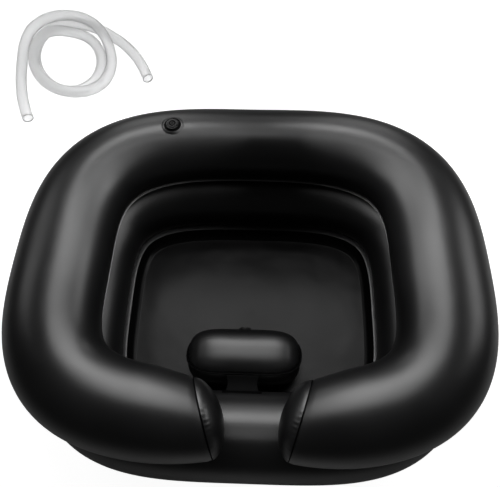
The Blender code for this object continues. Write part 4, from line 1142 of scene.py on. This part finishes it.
def stopper(name, place, sizes, body, node_name):
    """A push-in stopper with a dished head, a strap and its hinge roll."""
    head, thick, plug, tip, length, strap, roll, roll_length = sizes
    hinge_x = head + GAP + roll
    top = GAP + thick
    profile = [(head * across, top - thick * down) for across, down in STOPPER_DISH]
    profile += [(head, GAP), (plug, GAP)]
    profile += [(plug * across, -length * down) for across, down in STOPPER_SNAP]
    profile += [(tip, -length), (tip * STOPPER_TIP_SHARE, -length)]
    profile = rounded(profile, thick * STOPPER_ROUND_SHARE, False)
    work = bmesh.new()
    loft(work, turned_rings(profile, place), False, True)
    low = (head * STRAP_START_SHARE, -strap / 2, GAP)
    high = (hinge_x, strap / 2, GAP + thick * STRAP_THICKNESS_SHARE)
    loft(work, block_rings(low, high, place, thick * STRAP_ROUND_SHARE), False, True)
    side = place @ Matrix.Translation((hinge_x, 0.0, GAP + roll))
    side = side @ Matrix.Rotation(math.pi / 2, 4, "X")
    half, eye = roll_length / 2, roll * ROLL_EYE_SHARE
    ends = [(eye, half), (roll, half), (roll, -half), (eye, -half)]
    ends = rounded(ends, roll * ROLL_ROUND_SHARE, False)
    loft(work, turned_rings(ends, side, ROLL_SIDES), False, True)
    made = finish_piece(name, work, SHARP_ANGLE)
    dress(made, MOULDED, body, (node_name,))
    # The dish's hollow faces take the darker, duller black: painted shade in the head's dish
    made.data.materials.append(RECESS_PAINTED_SHADE)
    back = place.inverted()
    dish_low = GAP + thick * STOPPER_DISH_LOW_SHARE
    dish_high = top - thick * STOPPER_DISH_HIGH_SHARE
    for face in made.data.polygons:
        spot = back @ face.center
        in_shaded_dish = spot.xy.length < head * STOPPER_DISH_REACH_SHARE
        if in_shaded_dish and dish_low < spot.z < dish_high:
            face.material_index = 1


def upper_fall(place):
    """How far the upper tube's skin lies below the valve's plane at a point of that plane."""
    middle = place.translation
    flat = Vector((middle.x, middle.y, 0.0))
    near = [p for p in upper_dense() if (flat - p).length < VALVE_NEAR_REACH]
    full = upper_radius(middle)

    def fall(x, y):
        spot = place @ Vector((x, y, 0.0))
        off = min(math.hypot(spot.x - p.x, spot.y - p.y) for p in near)
        return UPPER_SQUASH * (full - math.sqrt(max(0.0, full * full - off * off)))

    return fall


def lower_fall(x, y):
    """The same for the lower tube, along whose side the valve's Y runs."""
    return LOWER_RADIUS * (1 - math.sqrt(max(0.0, 1 - (x / (LOWER_RADIUS * LOWER_SQUASH)) ** 2)))


def valve(prefix, place, fall, seat_radius, seat_body):
    """A seat welded flush into the skin, a groove, a stem with a raised rim, and its stopper."""
    name = prefix + "_valve"
    top = VALVE_SEAT_PROUD
    hole = VALVE_STEM_RADIUS + GAP
    groove_in = VALVE_RIM_RADIUS + VALVE_RIM_CLEARANCE
    groove_out = min(VALVE_RIM_RADIUS + VALVE_GROOVE_WIDTH, seat_radius - VALVE_GROOVE_MARGIN)
    crown = seat_radius - groove_out
    profile = [
        (hole, VALVE_LIP_RISE),
        (hole + VALVE_LIP_WIDTH, VALVE_LIP_RISE),
        (hole + VALVE_LIP_FOOT, -VALVE_GROOVE_DEPTH),
        (groove_in, -VALVE_GROOVE_DEPTH),
        (groove_out - VALVE_GROOVE_FOOT, -VALVE_GROOVE_DEPTH),
        (groove_out, top - VALVE_GROOVE_EASE),
        (groove_out + VALVE_CROWN_EDGE, top),
        (groove_out + crown * VALVE_CROWN_SHARE, top - VALVE_CROWN_FALL),
        (seat_radius, VALVE_EDGE_RISE),
        (seat_radius + GAP * VALVE_EDGE_OVERLAP_SHARE, -VALVE_EDGE_DIP),
        (seat_radius, -VALVE_EDGE_DEPTH),
        (seat_radius, -VALVE_SEAT_LOW),
        (hole, -VALVE_SEAT_LOW),
    ]
    profile = rounded(profile, VALVE_ROUNDING)
    run = crown + VALVE_FOLLOW_WIDTH
    rings = []
    for ring, spot in zip(turned_rings(profile, Matrix()), profile):
        share = smooth((spot.x - groove_out + VALVE_FOLLOW_WIDTH) / run)
        rings.append([place @ Vector((p.x, p.y, p.z - share * fall(p.x, p.y))) for p in ring])
    made = piece(name + "_flange", rings, True, sharp=FLANGE_SHARP_ANGLE)
    dress(made, SKIN, seat_body, (name + "_seat",))
    # The lip and groove faces take the darker, duller black: painted shade in the groove
    made.data.materials.append(RECESS_PAINTED_SHADE)
    sides = len(rings[0])
    for face in made.data.polygons:
        near = [profile[v // sides] for v in face.vertices]
        inside = max(p.x for p in near) < groove_out + VALVE_GROOVE_FOOT
        if inside and min(p.y for p in near) > -VALVE_SEAT_LOW:
            face.material_index = 1
    base = top + GAP
    rim = base + VALVE_RIM_THICKNESS
    low = rim - VALVE_STEM_LENGTH
    profile = [
        (VALVE_BORE_RADIUS, rim),
        (VALVE_RIM_RADIUS - VALVE_RIM_DISH_WIDTH, rim),
        (VALVE_RIM_RADIUS - VALVE_RIM_BAND_WIDTH, rim + VALVE_RIM_RISE),
        (VALVE_RIM_RADIUS, rim + VALVE_RIM_RISE),
        (VALVE_RIM_RADIUS, base),
        (VALVE_STEM_RADIUS, base),
        (VALVE_STEM_RADIUS, low),
        (VALVE_BORE_RADIUS, low),
    ]
    moulded(name + "_tube", profile, place, prefix + "_stem", name + "_stem")
    over = place @ Matrix.Translation((0.0, 0.0, rim))
    stopper(name + "_plug", over, STOPPER_SIZES, prefix + "_plug", name + "_stopper")


def moulded(name, profile, place, body, node_name, rounding=MOULDED_ROUNDING):
    """A turned piece of the black moulding, its corners rounded off unless rounding is 0."""
    profile = rounded(profile, rounding) if rounding else profile
    made = piece(name, turned_rings(profile, place), True, sharp=SHARP_ANGLE)
    dress(made, MOULDED, body, (node_name,))


def drain():
    inside, outside, length = drain_frames()
    face = DRAIN_FLANGE_THICKNESS + GAP
    bore, duct, flange = DRAIN_BORE_RADIUS, DRAIN_DUCT_RADIUS, DRAIN_FLANGE_RADIUS
    profile = [
        (bore, face),
        (bore + DRAIN_LIP_WIDTH, face),
        (bore + DRAIN_LIP_FOOT, face - DRAIN_LIP_DEPTH),
        (flange - DRAIN_LIP_FOOT, face - DRAIN_FACE_FALL),
        (flange, face - DRAIN_EDGE_FALL),
        (flange, GAP),
        (bore, GAP),
    ]
    moulded("drain_inlet_ring", profile, inside, "basin", "drain_inlet", FLANGE_ROUNDING)
    profile = [(bore, 0.0), (duct, 0.0), (duct, -length), (bore, -length)]
    moulded("drain_pipe", profile, outside, "basin", "drain_duct", 0)
    root = face + DRAIN_SPOUT_ROOT
    inner, outer, barb = DRAIN_SPOUT_BORE_RADIUS, DRAIN_SPOUT_RADIUS, DRAIN_BARB_RADIUS
    profile = [(inner, root + DRAIN_BARBS * DRAIN_BARB_PITCH)]
    for i in range(DRAIN_BARBS - 1, -1, -1):
        foot = root + i * DRAIN_BARB_PITCH
        profile += [(outer, foot + DRAIN_BARB_PITCH), (barb, foot)]
    profile += [(outer, face + DRAIN_SPOUT_ROOT / 2), (outer, face)]
    profile += [(flange, face), (flange, GAP), (inner, GAP)]
    moulded("drain_outlet", profile, outside, "basin", "drain_spout")
    over = inside @ Matrix.Translation((0.0, 0.0, face))
    stopper("drain_cap", over, DRAIN_STOPPER_SIZES, "drain_plug", "drain_stopper")


# Stage, light and camera


def camera():
    pitch, yaw, roll = (math.radians(a) for a in (CAMERA_PITCH, CAMERA_YAW, CAMERA_ROLL))
    level = math.cos(pitch)
    ahead = Vector((math.sin(yaw) * level, math.cos(yaw) * level, -math.sin(pitch)))
    right = Vector((math.cos(yaw), -math.sin(yaw), 0.0))
    up = right.cross(ahead)
    right_rolled = right * math.cos(roll) + up * math.sin(roll)
    up_rolled = up * math.cos(roll) - right * math.sin(roll)
    turn = Matrix((right_rolled, up_rolled, -ahead)).transposed().to_4x4()
    data = bpy.data.cameras.new("camera")
    data.lens = CAMERA_LENS
    data.sensor_width = CAMERA_SENSOR
    data.sensor_fit = "HORIZONTAL"
    data.clip_start = CAMERA_NEAR
    data.clip_end = CAMERA_FAR
    made = linked("camera", data)
    made.matrix_world = Matrix.Translation(CAMERA_PLACE) @ turn
    bpy.context.scene.camera = made


def lamp(name, place, target, width, height, spread, power):
    """An area lamp that the camera doesn't see."""
    data = bpy.data.lights.new(name, "AREA")
    data.shape = "RECTANGLE"
    data.size = width
    data.size_y = height
    data.spread = math.radians(spread)
    data.energy = power
    made = linked(name, data)
    made.visible_camera = False
    place = Vector(place)
    turn = (place - Vector(target)).normalized().to_track_quat("Z", "Y")
    made.matrix_world = Matrix.Translation(place) @ turn.to_matrix().to_4x4()


def seen_strength(tree, plain, direct, glossy):
    """A strength: direct for camera and transmission rays, glossy for reflections, else plain."""
    seen = node(tree, "ShaderNodeLightPath")
    through = node(tree, "ShaderNodeMath", operation="MAXIMUM")
    tree.links.new(seen.outputs["Is Camera Ray"], through.inputs[0])
    tree.links.new(seen.outputs["Is Transmission Ray"], through.inputs[1])
    mirrored = node(tree, "ShaderNodeMix", data_type="FLOAT")
    put(mirrored, {"A": plain, "B": glossy})
    tree.links.new(seen.outputs["Is Glossy Ray"], mirrored.inputs["Factor"])
    either = node(tree, "ShaderNodeMix", data_type="FLOAT")
    put(either, {"B": direct})
    tree.links.new(through.outputs[0], either.inputs["Factor"])
    tree.links.new(mirrored.outputs["Result"], either.inputs["A"])
    return either.outputs["Result"]


def stage():
    """The white ground that the basin stands on, and the world."""
    work = bmesh.new()
    bmesh.ops.create_grid(work, x_segments=1, y_segments=1, size=GROUND_SIZE)
    data = bpy.data.meshes.new("floor")
    work.to_mesh(data)
    work.free()
    ground = linked("floor", data)
    ground.location = (0.0, 0.0, -GROUND_DROP)
    paint = bpy.data.materials.new("floor_white")
    paint.use_nodes = True
    tree = paint.node_tree
    shader = tree.nodes["Principled BSDF"]
    put(shader, {"Base Color": GROUND_COLOUR, "Roughness": GROUND_ROUGHNESS})
    put(shader, {"Specular IOR Level": 0.0, "Emission Color": WHITE})
    glow = seen_strength(tree, 0.0, FLOOR_GLOW, FLOOR_SHEEN)
    tree.links.new(glow, shader.inputs["Emission Strength"])
    data.materials.append(paint)
    world = bpy.data.worlds.new("world")
    world.use_nodes = True
    tree = world.node_tree
    background = tree.nodes["Background"]
    put(background, {"Color": WHITE})
    glow = seen_strength(tree, WORLD_LIGHT, 1.0, WORLD_LIGHT)
    tree.links.new(glow, background.inputs["Strength"])
    bpy.context.scene.world = world


camera()
hose()
lower_skin()
upper_skin()
upper_seam()
floor_seam()
floor_sheet()
pillow()
pillow_weld()
pillow_tab()
valve(
    "upper", upper_valve_frame(), upper_fall(upper_valve_frame()), VALVE_SEAT_RADIUS, "basin"
)
valve("lower", lower_valve_frame(), lower_fall, VALVE_SEAT_RADIUS, "basin")
valve("pillow", pillow_valve_frame(), lambda x, y: 0.0, PILLOW_SEAT_RADIUS, "headrest")
drain()
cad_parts["chamber_strip"].material_slots[0].material = SKIN
stage()
for values in LAMPS:
    lamp(*values)

bpy.context.scene.view_settings.view_transform = "Standard"
